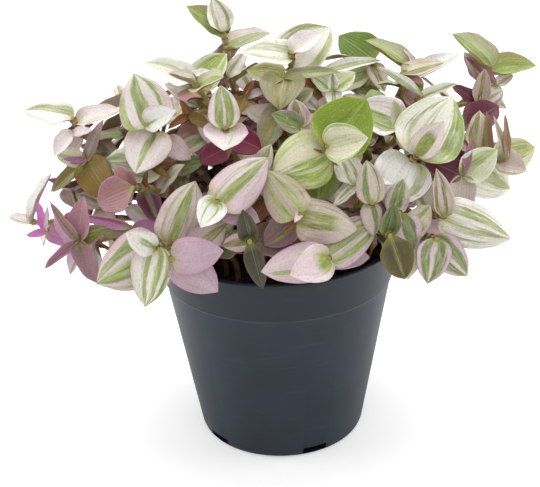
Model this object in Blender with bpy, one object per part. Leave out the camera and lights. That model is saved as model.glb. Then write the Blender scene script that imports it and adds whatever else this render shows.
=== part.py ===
"""A potted turtle vine: leafy stems standing in the soil of a small plastic nursery pot.

Metres, +Z up. The origin is the middle of the pot's underside, on its axis. The viewer of the
plant stands towards -Y. Run it with blender --background --python part.py, or from the text editor.
"""
import math
import random
from collections import namedtuple

import bmesh
import bpy
from mathutils import Matrix, Vector
from mathutils.bvhtree import BVHTree

MM = 0.001

# Pot
RIM_RADIUS = 45.0 * MM
POT_HEIGHT = 79.5 * MM
BASE_RADIUS = 31.2 * MM
SEAM_HEIGHT = 63.5 * MM
SEAM_RADIUS = 42.2 * MM
BAND_STEP = 0.5 * MM
WALL = 1.1 * MM
LIP = 0.5 * MM
LIP_HEIGHT = 1.6 * MM
BASE_CORNER = 2.6 * MM
POT_SIDES = 36

# Drain slots, cut through the pot's wall just above its base
SLOT_COUNT = 5
SLOT_FIRST_ANGLE = math.radians(-68)
SLOT_WIDTH = 9.4 * MM
SLOT_FOOT = 0.7 * MM
SLOT_HEIGHT = 3.2 * MM
SLOT_INNER_RADIUS = 26.0 * MM

# Soil, with a hole for each stem
GAP = 0.3 * MM
SOIL_TOP = POT_HEIGHT - 7.0 * MM
SOIL_CROWN = 1.5 * MM
SOIL_LUMP = 0.5 * MM
SOIL_RINGS = 3
SOIL_SIDES = 24
SOIL_SEED = 5
HOLE_DEPTH = 14.0 * MM
HOLE_SIDES = 5

# Stems
STEM_RADIUS = 1.15 * MM
TIP_RADIUS = 0.8 * MM
STEM_SIDES = 5
STEM_STEPS = 7
STEM_CLEARANCE = 0.5 * MM
ROOT_LIMIT = 35.0 * MM
ROOT_SPACING = 6.4 * MM
ROOT_PASSES = 80
LOWEST_TIP_ANGLE = math.radians(80)
FOOT_RISE = 2.0 * MM
RISE_SHARE = 0.36
REACH_SHARE = 0.30

# Where the leaves sit on a stem
TOP_NODE = 0.8 * MM
FIRST_INTERNODE = 2.4 * MM
INTERNODE_GROWTH = 1.9 * MM
LONGEST_INTERNODE = 9.5 * MM
BARE_FOOT = 8.0 * MM

# Leaves
LEAF_THICKNESS = 1.0 * MM
LEAF_CLEARANCE = 0.3 * MM
WIDTH_RISE = 0.50
WIDTH_FALL = 0.85
FRONT_STATIONS = (0.14, 0.42, 0.74)
BACK_STATIONS = (0.2, 0.58)
OUTER_STATION = 0.24
CLASP = 0.55
CLASP_END = 0.25
STEEPEST_FOLD = 1.0
FLAT_OPENING = 50.0
BEND_PER_DEGREE = 0.012
MOST_BEND = 0.55

Leaf = namedtuple("Leaf", "base along normal length width bend cup")
Stem = namedtuple("Stem", "name route leaves stations colour")

# The stems that can be told apart from the front: the tip in mm, the way it faces (azimuth, with
# -90 towards the viewer, and elevation), and its leaves from the youngest down. A leaf is its
# angle about the tip as seen from in front (0 to the right, 90 up), its length in mm, its width
# over its length, how far it opens from the tip's axis, and its fold (positive is boat-shaped).
FRONT_STEMS = (
    ("striped_left", (-42, -28, 132), (-96, 34), "pale",
     ((20, 12, .90, 62, .6), (108, 19, 1.02, 70, -.3), (251, 17, 1.0, 68, .2), (-35, 11, .75, 88, .2),
      (32, 13, .50, 90, .4))),
    ("green_rosette", (17, -43, 128), (-92, 28), "green",
     ((8, 14, 1.05, 64, .5), (50, 21, .98, 82, .1), (205, 20, 1.0, 70, -.2), (264, 15, .95, 88, .1))),
    ("pale_rosette", (47, -37, 122), (-93, 32), "pale",
     ((50, 14, .88, 62, .7), (58, 24, .98, 80, .1), (238, 18, 1.12, 74, -.1), (226, 20, .90, 90, .1),
      (262, 17, .85, 96, .2))),
    ("upright_green", (-16, -33, 132), (-88, 34), "pale",
     ((94, 14, .82, 66, .4), (264, 12, 1.3, 48, .3), (-20, 13, .80, 96, .3), (200, 13, .7, 98, .3),
      (62, 14, .75, 92, .3))),
    ("striped_middle", (-19, -54, 114), (-92, 30), "pale",
     ((240, 10.5, 1.05, 62, .5), (42, 22, .72, 78, -.3), (-22, 14, .66, 86, .3), (129, 11, .85, 104, .1),
      (210, 14, .66, 94, .1))),
    ("striped_low", (-40, -56, 100), (-95, 24), "pale",
     ((150, 11, .95, 56, .6), (260, 20, .70, 72, .1), (211, 25, .80, 78, -.2), (67, 23, .74, 70, -.3))),
    ("domed_pair", (7, -57, 110), (-90, 28), "pale",
     ((240, 6, .7, 34, .9), (123, 19, .80, 80, -.4), (-13, 20, .82, 82, -.4), (216, 14, .75, 92, .1))),
    ("front_low", (16, -60, 96), (-89, 24), "pale",
     ((200, 15, .90, 60, .4), (190, 22, .62, 84, -.2), (33, 25, .68, 76, -.2), (-6, 19, .50, 96, .1))),
    ("white_right", (55, -46, 104), (-84, 26), "pale",
     ((102, 17, .55, 60, .7), (-23, 25, .66, 78, -.2), (112, 15, .60, 88, .3), (-48, 17, .60, 98, .2))),
    ("right_edge", (78, -14, 110), (-80, 26), "green",
     ((-30, 11, 1.10, 58, .6), (14, 17, .80, 80, .2), (86, 19, .34, 68, .8), (330, 18, .95, 84, .1),
      (100, 14, .60, 90, .3), (-38, 15, .60, 98, .3))),
    ("top_left", (-18, 37, 146), (-95, 72), "pale",
     ((118, 14, .85, 46, .5), (154, 19, .76, 56, .5), (16, 18, .70, 70, .4), (-48, 15, .62, 104, .4))),
    ("top_middle", (7, 5, 146), (-86, 58), "pale",
     ((24, 13, .80, 66, .5), (174, 18, .80, 74, .2), (40, 21, 1.05, 66, .4), (240, 18, .90, 60, .4),
      (18, 18, .70, 76, .4), (190, 16, .75, 70, .4))),
    ("upper_left", (-29, 5, 138), (-96, 58), "lilac",
     ((8, 8, .60, 66, .7), (166, 19, .66, 66, .4), (50, 18, .88, 64, .4), (158, 16, .70, 62, .5),
      (205, 14, .75, 80, .3), (325, 15, .62, 104, .4))),
    ("back_green", (39, 38, 133), (-90, 48), "green",
     ((141, 17, .98, 76, .1), (290, 12, .66, 84, .3), (190, 17, .66, 96, .3), (-60, 16, .66, 96, .3))),
    ("upper_right", (50, 5, 140), (-84, 70), "pale",
     ((140, 7, .60, 44, .9), (152, 20, .58, 60, .7), (10, 21, .50, 62, .5), (-32, 16, .6, 98, .4),
      (215, 15, .62, 104, .4))),
    ("far_right", (81, 25, 132), (-78, 62), "lilac",
     ((146, 20, .76, 56, .7), (-4, 19, .74, 72, .6), (104, 14, .60, 66, .5), (330, 15, .60, 84, .4))),
    ("left_high", (-71, -4, 127), (-104, 64), "purple",
     ((176, 19, .62, 76, .2), (10, 18, .58, 68, .4), (238, 13, .7, 112, .4), (320, 16, .6, 110, .3))),
    ("striped_right", (52, -50, 97), (-84, 12), "pale",
     ((256, 15, .80, 74, .1), (-50, 18, .66, 84, .1), (172, 12, .66, 92, .2))),
    ("lilac_low", (-34, -59, 97), (-91, 20), "lilac",
     ((8, 17, .74, 76, -.2), (-42, 19, .72, 86, -.1), (222, 16, .62, 84, .2), (36, 16, .66, 98, .2))),
    ("left_tip", (-88, -14, 92), (215, 24), "purple",
     ((70, 22, .32, 76, .8), (192, 18, .32, 74, .8), (262, 10, .5, 84, .6), (10, 12, .7, 92, .4))),
    ("lilac_left", (-68, -34, 92), (222, 8), "lilac",
     ((122, 14, .6, 60, .6), (240, 17, .45, 78, .5), (262, 17, .66, 90, .3), (170, 13, .6, 92, .4),
      (20, 17, .6, 98, .3))),
    ("pink_pair", (44, -18, 126), (-100, 40), "lilac",
     ((160, 18, .85, 80, .3), (110, 11, .6, 60, .6), (-20, 15, .7, 84, .2), (60, 13, .6, 88, .3))),
    ("pale_vee", (51, -8, 133), (-90, 46), "pale",
     ((148, 18, .34, 68, 1.0), (18, 15, .40, 72, .9), (262, 12, .6, 92, .4))),
    ("dark_right", (68, 2, 117), (-70, 40), "purple",
     ((20, 17, .8, 74, .5), (160, 16, .62, 88, .4), (280, 16, .70, 96, .4), (100, 13, .6, 88, .4))),
    ("pink_under", (-48, -34, 112), (-120, 14), "lilac",
     ((208, 18, .72, 84, .3), (150, 12, .6, 80, .4), (290, 14, .7, 92, .2))),
    ("olive_drop", (36.5, -54, 100.5), (-82, -4), "green",
     ((288, 17, .70, 76, .4), (80, 11, .7, 80, .3), (190, 12, .66, 90, .2))),
    ("grey_green", (-38, -24, 116), (-100, 24), "green",
     ((177, 23, .60, 86, -.1), (128, 15, .66, 86, .2), (20, 12, .6, 88, .3), (272, 14, .66, 94, .2))),
    ("dark_middle", (-9, -54, 100), (-89, 4), "purple",
     ((282, 18, .42, 78, .5), (100, 12, .6, 82, .3), (200, 11, .66, 92, .2))),
    ("striped_inner", (31, -48, 110), (-86, 22), "pale",
     ((95, 14, .70, 74, .2), (250, 13, .66, 88, .2), (340, 13, .6, 94, .2))),
    ("dark_inner", (40, -49, 106), (-88, 16), "purple",
     ((290, 14, .8, 78, .2), (205, 13, .66, 88, .2), (70, 12, .7, 92, .2))),
    ("pale_inner", (-6, -42, 119), (-90, 34), "pale",
     ((60, 11, .66, 62, .4), (180, 13, .66, 84, .2), (330, 14, .66, 90, .2), (100, 14, .66, 92, .2))),
    ("magenta_inner", (-14, -14, 121), (-80, 50), "purple",
     ((10, 16, .66, 84, .3), (170, 16, .66, 92, .3), (280, 15, .66, 96, .3), (90, 14, .66, 92, .3))),
    ("grey_crown", (2, -16, 132), (-95, 50), "lilac",
     ((250, 16, .66, 86, .3), (40, 15, .66, 76, .4), (150, 15, .66, 90, .3), (320, 15, .66, 94, .3))),
)

# The stems that the front ones hide, by a rule: arcs of tips round the far side of the mound.
# An arc is its name, how many tips, its first and last azimuth, and the reach and height in mm.
BACK_ARCS = (
    ("back_low", 7, (14, 166), (82, 98)),
    ("back_high", 5, (30, 152), (64, 122)),
    ("crown", 3, (60, 200), (24, 138)),
)
BACK_LEAVES = ((0, 10, .7, 42, .9), (150, 17, .66, 66, .3), (300, 19, .66, 80, .1),
               (95, 18, .66, 90, .1), (235, 16, .66, 98, .2))
BACK_ELEVATIONS = {"back_low": 24, "back_high": 46, "crown": 66}
BACK_COLOURS = ("pale", "lilac", "green", "pale", "purple")
BACK_JITTER = 5.0
BACK_SEED = 11

# The leaves further down every stem, also by a rule
LOWER_LIMIT = 2
LOWER_TURN = 158.0
LOWER_TURN_JITTER = 22.0
LOWER_LENGTHS = (16.0, 20.0)
LOWER_WIDTH = 0.66
LOWER_OPENINGS = (78.0, 98.0)
LOWER_CUP = 0.2
LOWER_SEED = 23
LIGHT_PULL = 0.3

# What a stem tries when it would touch another: how far its middle is moved sideways and up, in mm
ROUTE_TRIES = ((0, 0), (3, 0), (-3, 0), (0, 4), (6, 0), (-6, 0), (4, 5), (-4, 5), (9, 2), (-9, 2),
               (0, 9), (12, 4), (-12, 4), (0, -4), (5, -4), (-5, -4), (8, 8), (-8, 8), (15, 0),
               (-15, 0), (0, 13), (10, 12), (-10, 12), (18, 6), (-18, 6))

# What a leaf tries: a turn about the tip, a change of opening, a twist, all in degrees, and a size
LEAF_TRIES = ((0, 0, 0, 1), (0, 8, 0, 1), (0, -8, 0, 1), (10, 0, 0, 1), (-10, 0, 0, 1),
              (0, 0, 14, 1), (0, 0, -14, 1), (0, -16, 0, 1), (0, 16, 0, 1), (14, 8, 10, 1),
              (-14, 8, -10, 1), (14, -12, -10, 1), (-14, -12, 10, 1), (0, 0, 0, .9),
              (0, 10, 0, .88), (0, -12, 0, .88), (18, 0, 14, .88), (-18, 0, -14, .88),
              (24, 12, 0, .85), (-24, 12, 0, .85), (24, -14, 0, .85), (-24, -14, 0, .85),
              (0, 0, 0, .75), (0, 14, 0, .72), (0, -16, 0, .72), (22, 0, 16, .72),
              (-22, 0, -16, .72), (0, 0, 0, .6), (30, 10, 0, .6), (-30, 10, 0, .6))

# Colours, roughness and metallic value
FINISHES = {
    "pot": ((0.038, 0.040, 0.047, 1.0), 0.50, 0.0),
    "soil": ((0.020, 0.013, 0.009, 1.0), 0.95, 0.0),
    "pale": ((0.60, 0.52, 0.47, 1.0), 0.42, 0.0),
    "lilac": ((0.48, 0.30, 0.42, 1.0), 0.42, 0.0),
    "green": ((0.28, 0.38, 0.13, 1.0), 0.42, 0.0),
    "purple": ((0.20, 0.07, 0.13, 1.0), 0.45, 0.0),
}


def clear_scene():
    """Remove what a new file starts with."""
    for thing in list(bpy.data.objects):
        bpy.data.objects.remove(thing, do_unlink=True)


def material(name, finish):
    """A plain material of its own for one sub-part."""
    colour, roughness, metallic = FINISHES[finish]
    result = bpy.data.materials.new(name)
    result.use_nodes = True
    shader = result.node_tree.nodes["Principled BSDF"]
    shader.inputs["Base Color"].default_value = colour
    shader.inputs["Roughness"].default_value = roughness
    shader.inputs["Metallic"].default_value = metallic
    return result


def add_object(name, points, faces):
    """A new object in the scene from points and faces."""
    mesh = bpy.data.meshes.new(name)
    mesh.from_pydata([tuple(point) for point in points], [], faces)
    mesh.update()
    result = bpy.data.objects.new(name, mesh)
    bpy.context.scene.collection.objects.link(result)
    return result


def combine(body, tools, operation, solver):
    """Apply one Boolean of a body with a collection of solids, then remove those solids."""
    collection = bpy.data.collections.new("tools")
    bpy.context.scene.collection.children.link(collection)
    for tool in tools:
        bpy.context.scene.collection.objects.unlink(tool)
        collection.objects.link(tool)
    boolean = body.modifiers.new("Join", "BOOLEAN")
    boolean.operand_type = "COLLECTION"
    boolean.collection = collection
    boolean.operation = operation
    boolean.solver = solver
    evaluated = body.evaluated_get(bpy.context.evaluated_depsgraph_get())
    result = bpy.data.meshes.new_from_object(evaluated)
    body.modifiers.clear()
    body.data = result
    for tool in tools:
        bpy.data.objects.remove(tool, do_unlink=True)
    bpy.data.collections.remove(collection)


def keep_largest_piece(body):
    """Drop any loose scrap or sealed hollow that joining left beside the main piece."""
    mesh = bmesh.new()
    mesh.from_mesh(body.data)
    unseen = set(mesh.verts)
    pieces = []
    while unseen:
        front = [unseen.pop()]
        piece = set(front)
        while front:
            for edge in front.pop().link_edges:
                for vertex in edge.verts:
                    if vertex in unseen:
                        unseen.remove(vertex)
                        piece.add(vertex)
                        front.append(vertex)
        pieces.append(piece)
    pieces.sort(key=len)
    for scrap in pieces[:-1]:
        bmesh.ops.delete(mesh, geom=list(scrap), context="VERTS")
    mesh.to_mesh(body.data)
    mesh.free()


def turned(profile, sides):
    """Points and faces of a turned solid: (radius, height) pairs from the axis below to it above."""
    points = []
    rings = []
    for radius, height in profile:
        count = sides if radius > 0 else 1
        rings.append([len(points) + side for side in range(count)])
        for side in range(count):
            angle = 2 * math.pi * side / sides
            points.append(Vector((radius * math.cos(angle), radius * math.sin(angle), height)))
    faces = []
    for low, high in zip(rings, rings[1:]):
        for side in range(sides):
            after = (side + 1) % sides
            corners = [low[side % len(low)], low[after % len(low)]]
            corners += [high[after % len(high)], high[side % len(high)]]
            faces.append(tuple(dict.fromkeys(corners)))
    return points, faces


def outer_radius(height):
    """The pot's outside radius: a taper up to the seam, then the band that stands a step proud."""
    if height <= SEAM_HEIGHT:
        return BASE_RADIUS + (SEAM_RADIUS - BASE_RADIUS) * height / SEAM_HEIGHT
    share = (height - SEAM_HEIGHT) / (POT_HEIGHT - SEAM_HEIGHT)
    start = SEAM_RADIUS + BAND_STEP
    return start + (RIM_RADIUS - LIP - start) * share


def inner_radius(height):
    """The pot's inside radius: one straight taper, a wall in from the outside."""
    return BASE_RADIUS - WALL + (RIM_RADIUS - LIP - BASE_RADIUS) * height / POT_HEIGHT


def pot_profile():
    """The pot's half-outline: under the base, up the outside, over the lip and down the inside."""
    lip_foot = POT_HEIGHT - LIP_HEIGHT
    corner = outer_radius(BASE_CORNER)
    return [
        (0, 0),
        (corner - BASE_CORNER, 0),
        (corner - 0.29 * BASE_CORNER, 0.29 * BASE_CORNER),
        (corner, BASE_CORNER),
        (outer_radius(SEAM_HEIGHT), SEAM_HEIGHT),
        (SEAM_RADIUS + BAND_STEP, SEAM_HEIGHT + BAND_STEP),
        (outer_radius(lip_foot), lip_foot),
        (RIM_RADIUS, lip_foot + LIP),
        (RIM_RADIUS, POT_HEIGHT - LIP),
        (RIM_RADIUS - LIP, POT_HEIGHT),
        (inner_radius(POT_HEIGHT) + 0.2 * LIP, POT_HEIGHT),
        (inner_radius(POT_HEIGHT), POT_HEIGHT - LIP),
        (inner_radius(BASE_CORNER + WALL), BASE_CORNER + WALL),
        (inner_radius(0) - BASE_CORNER, WALL),
        (0, WALL),
    ]


def slot_cutter(angle):
    """A block that cuts one drain slot at an angle about the pot's axis."""
    depth = BASE_RADIUS + 2 * WALL - SLOT_INNER_RADIUS
    mesh = bmesh.new()
    size = Matrix.Diagonal((depth, SLOT_WIDTH, SLOT_HEIGHT, 1))
    place = Matrix.Translation((SLOT_INNER_RADIUS + depth / 2, 0, SLOT_FOOT + SLOT_HEIGHT / 2))
    bmesh.ops.create_cube(mesh, size=1, matrix=Matrix.Rotation(angle, 4, "Z") @ place @ size)
    data = bpy.data.meshes.new("slot")
    mesh.to_mesh(data)
    mesh.free()
    cutter = bpy.data.objects.new("slot", data)
    bpy.context.scene.collection.objects.link(cutter)
    return cutter


def make_pot():
    """The pot: a thin turned shell with its drain slots cut."""
    pot = add_object("pot", *turned(pot_profile(), POT_SIDES))
    step = 2 * math.pi / SLOT_COUNT
    cutters = [slot_cutter(SLOT_FIRST_ANGLE + step * number) for number in range(SLOT_COUNT)]
    combine(pot, cutters, "DIFFERENCE", "EXACT")
    pot.data.shade_smooth()
    pot.data.set_sharp_from_angle(angle=math.radians(30))
    pot.data.materials.append(material("pot", "pot"))
    return pot


def soil_height(radius):
    """The mean height of the soil's crowned top at a distance from the axis."""
    share = radius / inner_radius(SOIL_TOP)
    return SOIL_TOP + SOIL_CROWN * (1 - share * share)


def soil_body():
    """Points and faces of the soil: it fills the pot and has a low, lumpy crown."""
    foot = WALL + GAP
    chamfer = BASE_CORNER + WALL
    edge = inner_radius(SOIL_TOP) - GAP
    profile = [(0, foot), (inner_radius(0) - BASE_CORNER - GAP, foot),
               (inner_radius(chamfer) - GAP, chamfer + GAP), (edge, SOIL_TOP)]
    for ring in range(SOIL_RINGS - 1, 0, -1):
        radius = edge * ring / SOIL_RINGS
        profile.append((radius, soil_height(radius)))
    profile.append((0, soil_height(0)))
    points, faces = turned(profile, SOIL_SIDES)
    draw = random.Random(SOIL_SEED)
    for point in points:
        if point.z > SOIL_TOP + SOIL_LUMP / 2:
            point.z += draw.uniform(-SOIL_LUMP, SOIL_LUMP)
    return points, faces


def make_soil(stems):
    """The soil, with a plain hole for each stem's foot."""
    soil = add_object("soil", *soil_body())
    radius = (STEM_RADIUS + GAP) / math.cos(math.pi / HOLE_SIDES)
    holes = []
    for stem in stems:
        foot = stem.route[0].copy()
        foot.z -= GAP
        points, faces = tube([foot, foot + Vector((0, 0, 3 * HOLE_DEPTH))], [radius] * 2, HOLE_SIDES)
        holes.append(add_object("hole", points, faces))
    combine(soil, holes, "DIFFERENCE", "EXACT")
    soil.data.materials.append(material("soil", "soil"))
    return soil


def direction(azimuth, elevation):
    """The unit vector at an azimuth and an elevation in degrees."""
    level = math.cos(math.radians(elevation))
    turn = math.radians(azimuth)
    return Vector((level * math.cos(turn), level * math.sin(turn), math.sin(math.radians(elevation))))


def back_stems():
    """The table rows of the hidden stems, spaced along their arcs with a seeded wander."""
    draw = random.Random(BACK_SEED)
    rows = []
    for name, count, (first, last), (reach, height) in BACK_ARCS:
        for number in range(count):
            azimuth = first + (last - first) * number / (count - 1) + draw.uniform(-4, 4)
            out = reach + draw.uniform(-BACK_JITTER, BACK_JITTER)
            up = height + draw.uniform(-BACK_JITTER, BACK_JITTER)
            tip = (out * math.cos(math.radians(azimuth)), out * math.sin(math.radians(azimuth)), up)
            facing = (azimuth + draw.uniform(-15, 15), BACK_ELEVATIONS[name] + draw.uniform(-8, 8))
            start = draw.uniform(0, 360)
            leaves = tuple((start + angle, size * draw.uniform(.9, 1.1), width, opening, cup)
                           for angle, size, width, opening, cup in BACK_LEAVES)
            colour = BACK_COLOURS[len(rows) % len(BACK_COLOURS)]
            rows.append((f"{name}_{number + 1}", tip, facing, colour, leaves))
    return rows


def root_places(tips):
    """Where the stems leave the soil: below their tips' bearings, low tips near the rim, kept apart."""
    places = []
    for tip in tips:
        reach = math.hypot(tip.x, tip.y)
        angle = math.atan2(reach, tip.z - SOIL_TOP)
        radius = ROOT_LIMIT * min(1, angle / LOWEST_TIP_ANGLE)
        places.append(Vector((tip.x, tip.y)) * (radius / reach))
    for _ in range(ROOT_PASSES):
        for one in range(len(places)):
            for other in range(one):
                apart = places[one] - places[other]
                short = ROOT_SPACING - apart.length
                if short > 0:
                    push = apart.normalized() * (short / 2)
                    places[one] += push
                    places[other] -= push
        for place in places:
            if place.length > ROOT_LIMIT:
                place *= ROOT_LIMIT / place.length
    return places


def stem_route(root, tip, facing, sideways, upwards):
    """Points along a stem: straight out of its hole, then one smooth curve to its tip."""
    foot = Vector((root.x, root.y, SOIL_TOP - HOLE_DEPTH + GAP))
    start = Vector((root.x, root.y, SOIL_TOP + SOIL_CROWN + FOOT_RISE))
    span = (tip - start).length
    side = Vector((0, 0, 1)).cross(tip - start).normalized()
    shift = side * (sideways * MM) + Vector((0, 0, upwards * MM))
    first = start + Vector((0, 0, RISE_SHARE * span)) + 0.6 * shift
    second = tip - facing * (REACH_SHARE * span) + shift
    points = [foot]
    for step in range(STEM_STEPS):
        t = step / (STEM_STEPS - 1)
        u = 1 - t
        points.append(u ** 3 * start + 3 * u * u * t * first + 3 * u * t * t * second + t ** 3 * tip)
    return points


def route_radii(count):
    """The stem's radius at each point of its route, slimmer over the last third."""
    radii = []
    for number in range(count):
        share = max(0, number / (count - 1) - 2 / 3) * 3
        radii.append(STEM_RADIUS + (TIP_RADIUS - STEM_RADIUS) * share)
    return radii


def tube(route, radii, sides):
    """Points and faces of a closed tube along a route."""
    points = []
    aside = Vector((0, 1, 0))
    for number, centre in enumerate(route):
        before = route[max(number - 1, 0)]
        after = route[min(number + 1, len(route) - 1)]
        ahead = (after - before).normalized()
        aside = (aside - ahead * aside.dot(ahead)).normalized()
        across = ahead.cross(aside)
        for side in range(sides):
            angle = 2 * math.pi * side / sides
            spoke = aside * math.cos(angle) + across * math.sin(angle)
            points.append(centre + spoke * radii[number])
    faces = [tuple(reversed(range(sides))), tuple(range(len(points) - sides, len(points)))]
    for ring in range(len(route) - 1):
        for side in range(sides):
            after = (side + 1) % sides
            low = ring * sides
            faces.append((low + side, low + after, low + sides + after, low + sides + side))
    return points, faces


def place_on(route, distance):
    """The point and direction on a route, at a distance down from its tip; none near the foot."""
    left = distance
    for number in range(len(route) - 1, 1, -1):
        step = route[number] - route[number - 1]
        if left <= step.length:
            return route[number] - step.normalized() * left, step.normalized()
        left -= step.length
    return None


def node_distances(route):
    """The distances from the tip of the stem's leaf nodes, down to its bare foot."""
    total = sum((b - a).length for a, b in zip(route[1:], route[2:]))
    distances = []
    distance = TOP_NODE
    gap = FIRST_INTERNODE
    while distance < total - BARE_FOOT:
        distances.append(distance)
        distance += gap
        gap = min(gap + INTERNODE_GROWTH, LONGEST_INTERNODE)
    return distances


def outline(share):
    """Half the blade's width over its greatest half-width, from its base at 0 to its tip at 1."""
    widest = WIDTH_RISE / (WIDTH_RISE + WIDTH_FALL)
    greatest = widest ** WIDTH_RISE * (1 - widest) ** WIDTH_FALL
    return share ** WIDTH_RISE * (1 - share) ** WIDTH_FALL / greatest


def blade(leaf, stations, grow=0.0):
    """Points and triangles of one blade, thicker and wider all round by what it is grown."""
    side = leaf.normal.cross(leaf.along)
    length = leaf.length + grow
    points = [leaf.base]
    for share in stations + (1.0,):
        turn = leaf.bend * share
        ahead = length * math.sin(turn) / leaf.bend
        drop = length * (1 - math.cos(turn)) / leaf.bend
        middle = leaf.base + leaf.along * ahead - leaf.normal * drop
        up = leaf.normal * math.cos(turn) + leaf.along * math.sin(turn)
        if share == 1.0:
            points.append(middle)
            continue
        fold = leaf.cup + CLASP * max(0, 1 - share / CLASP_END)
        half = leaf.width / 2 * outline(share) + grow
        out = side * (half * math.cos(fold))
        rise = up * (half * math.sin(fold))
        skin = up * ((LEAF_THICKNESS / 2 + grow) / math.cos(min(abs(fold), STEEPEST_FOLD)))
        points += [middle + out + rise, middle + skin, middle - out + rise, middle - skin]
    faces = [(2, 1, 0), (3, 2, 0), (4, 3, 0), (1, 4, 0)]
    last = 4 * len(stations) - 3
    for a in range(1, last, 4):
        b = a + 4
        faces += [(a, a + 1, b + 1), (a, b + 1, b), (a + 1, a + 2, b + 1), (a + 2, b + 2, b + 1)]
        faces += [(a + 2, a + 3, b + 3), (a + 2, b + 3, b + 2), (a + 3, a, b + 3), (a, b, b + 3)]
    tip = last + 4
    faces += [(last, last + 1, tip), (last + 1, last + 2, tip)]
    faces += [(last + 2, last + 3, tip), (last + 3, last, tip)]
    return points, faces


def outer_half(leaf):
    """The same for the part of a blade past its clasping base, which no other blade may cross."""
    points, faces = blade(leaf, (OUTER_STATION,) + FRONT_STATIONS[1:])
    points[0] = (points[2] + points[4]) / 2
    return points, faces


def posed_leaf(base, axis, facing, row, change, light):
    """A leaf from its table row and one try's change, on a node whose stem runs along an axis."""
    angle, size, width, opening, cup = row
    turn, wider, twist, scale = change
    right = Vector((0, 0, 1)).cross(facing).normalized()
    up = facing.cross(right)
    clock = math.radians(angle + turn)
    spoke = right * math.cos(clock) + up * math.sin(clock)
    spoke = (spoke - axis * spoke.dot(axis)).normalized()
    open_angle = math.radians(opening + wider)
    along = axis * math.cos(open_angle) + spoke * math.sin(open_angle)
    normal = axis - along * axis.dot(along)
    sun = Vector((0, -0.5, 0.87))
    normal = normal.normalized() + light * (sun - along * sun.dot(along))
    normal = Matrix.Rotation(math.radians(twist), 3, along) @ normal.normalized()
    bend = BEND_PER_DEGREE * (opening - FLAT_OPENING)
    bend = max(-MOST_BEND, min(MOST_BEND, bend)) or 0.01
    length = size * scale * MM
    return Leaf(base, along, normal, length, width * length, bend, cup)


def tree_of(points, faces):
    """A search tree of a solid's faces, with the centre and radius of a ball round it."""
    centre = sum(points, Vector()) / len(points)
    reach = max((point - centre).length for point in points)
    return BVHTree.FromPolygons([tuple(point) for point in points], faces), centre, reach


def touches(solid, others):
    """Whether a solid meets any of the others."""
    tree, centre, reach = solid
    for other, middle, radius in others:
        if (centre - middle).length < reach + radius and tree.overlap(other):
            return True
    return False


def lay_routes(rows, fixed):
    """A route for each row's stem, clear of the pot and of each other."""
    tips = [Vector(row[1]) * MM for row in rows]
    roots = root_places(tips)
    routes = []
    tubes = []
    for row, tip, root in zip(rows, tips, roots):
        facing = direction(*row[2])
        for sideways, upwards in ROUTE_TRIES:
            route = stem_route(root, tip, facing, sideways, upwards)
            radii = [radius + STEM_CLEARANCE for radius in route_radii(len(route) - 1)]
            test = tree_of(*tube(route[1:], radii, STEM_SIDES))
            if not touches(test, fixed + tubes):
                break
        else:
            print("no clear route for", row[0])
            route = None
        if route:
            tubes.append(tree_of(*tube(route[1:], route_radii(len(route) - 1), STEM_SIDES)))
        routes.append(route)
    return routes, tubes


def add_leaf(owner, number, row, routes, facing, light, solids, fixed):
    """The first of a leaf's tries that is clear of everything; it is added to the solids."""
    spot = place_on(routes[owner], node_distances(routes[owner])[number])
    others = fixed["still"] + fixed["tubes"][:owner] + fixed["tubes"][owner + 1:]
    others += [solid for name, solid, _ in solids if name != owner]
    own = [outer for name, _, outer in solids if name == owner]
    for change in LEAF_TRIES:
        axis = spot[1] if light else facing
        leaf = posed_leaf(spot[0], axis, facing, row, change, light)
        grown = tree_of(*blade(leaf, FRONT_STATIONS, LEAF_CLEARANCE))
        if touches(grown, others):
            continue
        outer = tree_of(*outer_half(leaf))
        if touches(outer, own):
            continue
        solids.append((owner, tree_of(*blade(leaf, FRONT_STATIONS)), outer))
        return leaf
    return None


def lay_stems():
    """Every stem with its route and its leaves."""
    rows = list(FRONT_STEMS) + back_stems()
    still = [tree_of(*turned(pot_profile(), POT_SIDES)), tree_of(*soil_body())]
    routes, tubes = lay_routes(rows, [still[0]])
    rows = [row for row, route in zip(rows, routes) if route]
    routes = [route for route in routes if route]
    fixed = {"still": still, "tubes": tubes}
    solids = []
    leaves = [[] for _ in rows]
    missing = 0
    for owner, row in enumerate(rows):
        nodes = len(node_distances(routes[owner]))
        for number, leaf_row in enumerate(row[4][:nodes]):
            leaf = add_leaf(owner, number, leaf_row, routes, direction(*row[2]), 0, solids, fixed)
            missing += leaf is None
            leaves[owner].append(leaf)
    draw = random.Random(LOWER_SEED)
    for owner, row in enumerate(rows):
        nodes = len(node_distances(routes[owner]))
        angle = row[4][-1][0]
        for number in range(len(row[4]), min(nodes, len(row[4]) + LOWER_LIMIT)):
            angle += LOWER_TURN + draw.uniform(-LOWER_TURN_JITTER, LOWER_TURN_JITTER)
            leaf_row = (angle, draw.uniform(*LOWER_LENGTHS), LOWER_WIDTH,
                        draw.uniform(*LOWER_OPENINGS), LOWER_CUP)
            facing = direction(*row[2])
            leaves[owner].append(
                add_leaf(owner, number, leaf_row, routes, facing, LIGHT_PULL, solids, fixed))
    print("stems", len(rows), "leaves", len(solids), "hero leaves left out", missing)
    stems = []
    for owner, row in enumerate(rows):
        stations = FRONT_STATIONS if owner < len(FRONT_STEMS) else BACK_STATIONS
        stems.append(Stem(row[0], routes[owner], leaves[owner], stations, row[3]))
    return stems


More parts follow.
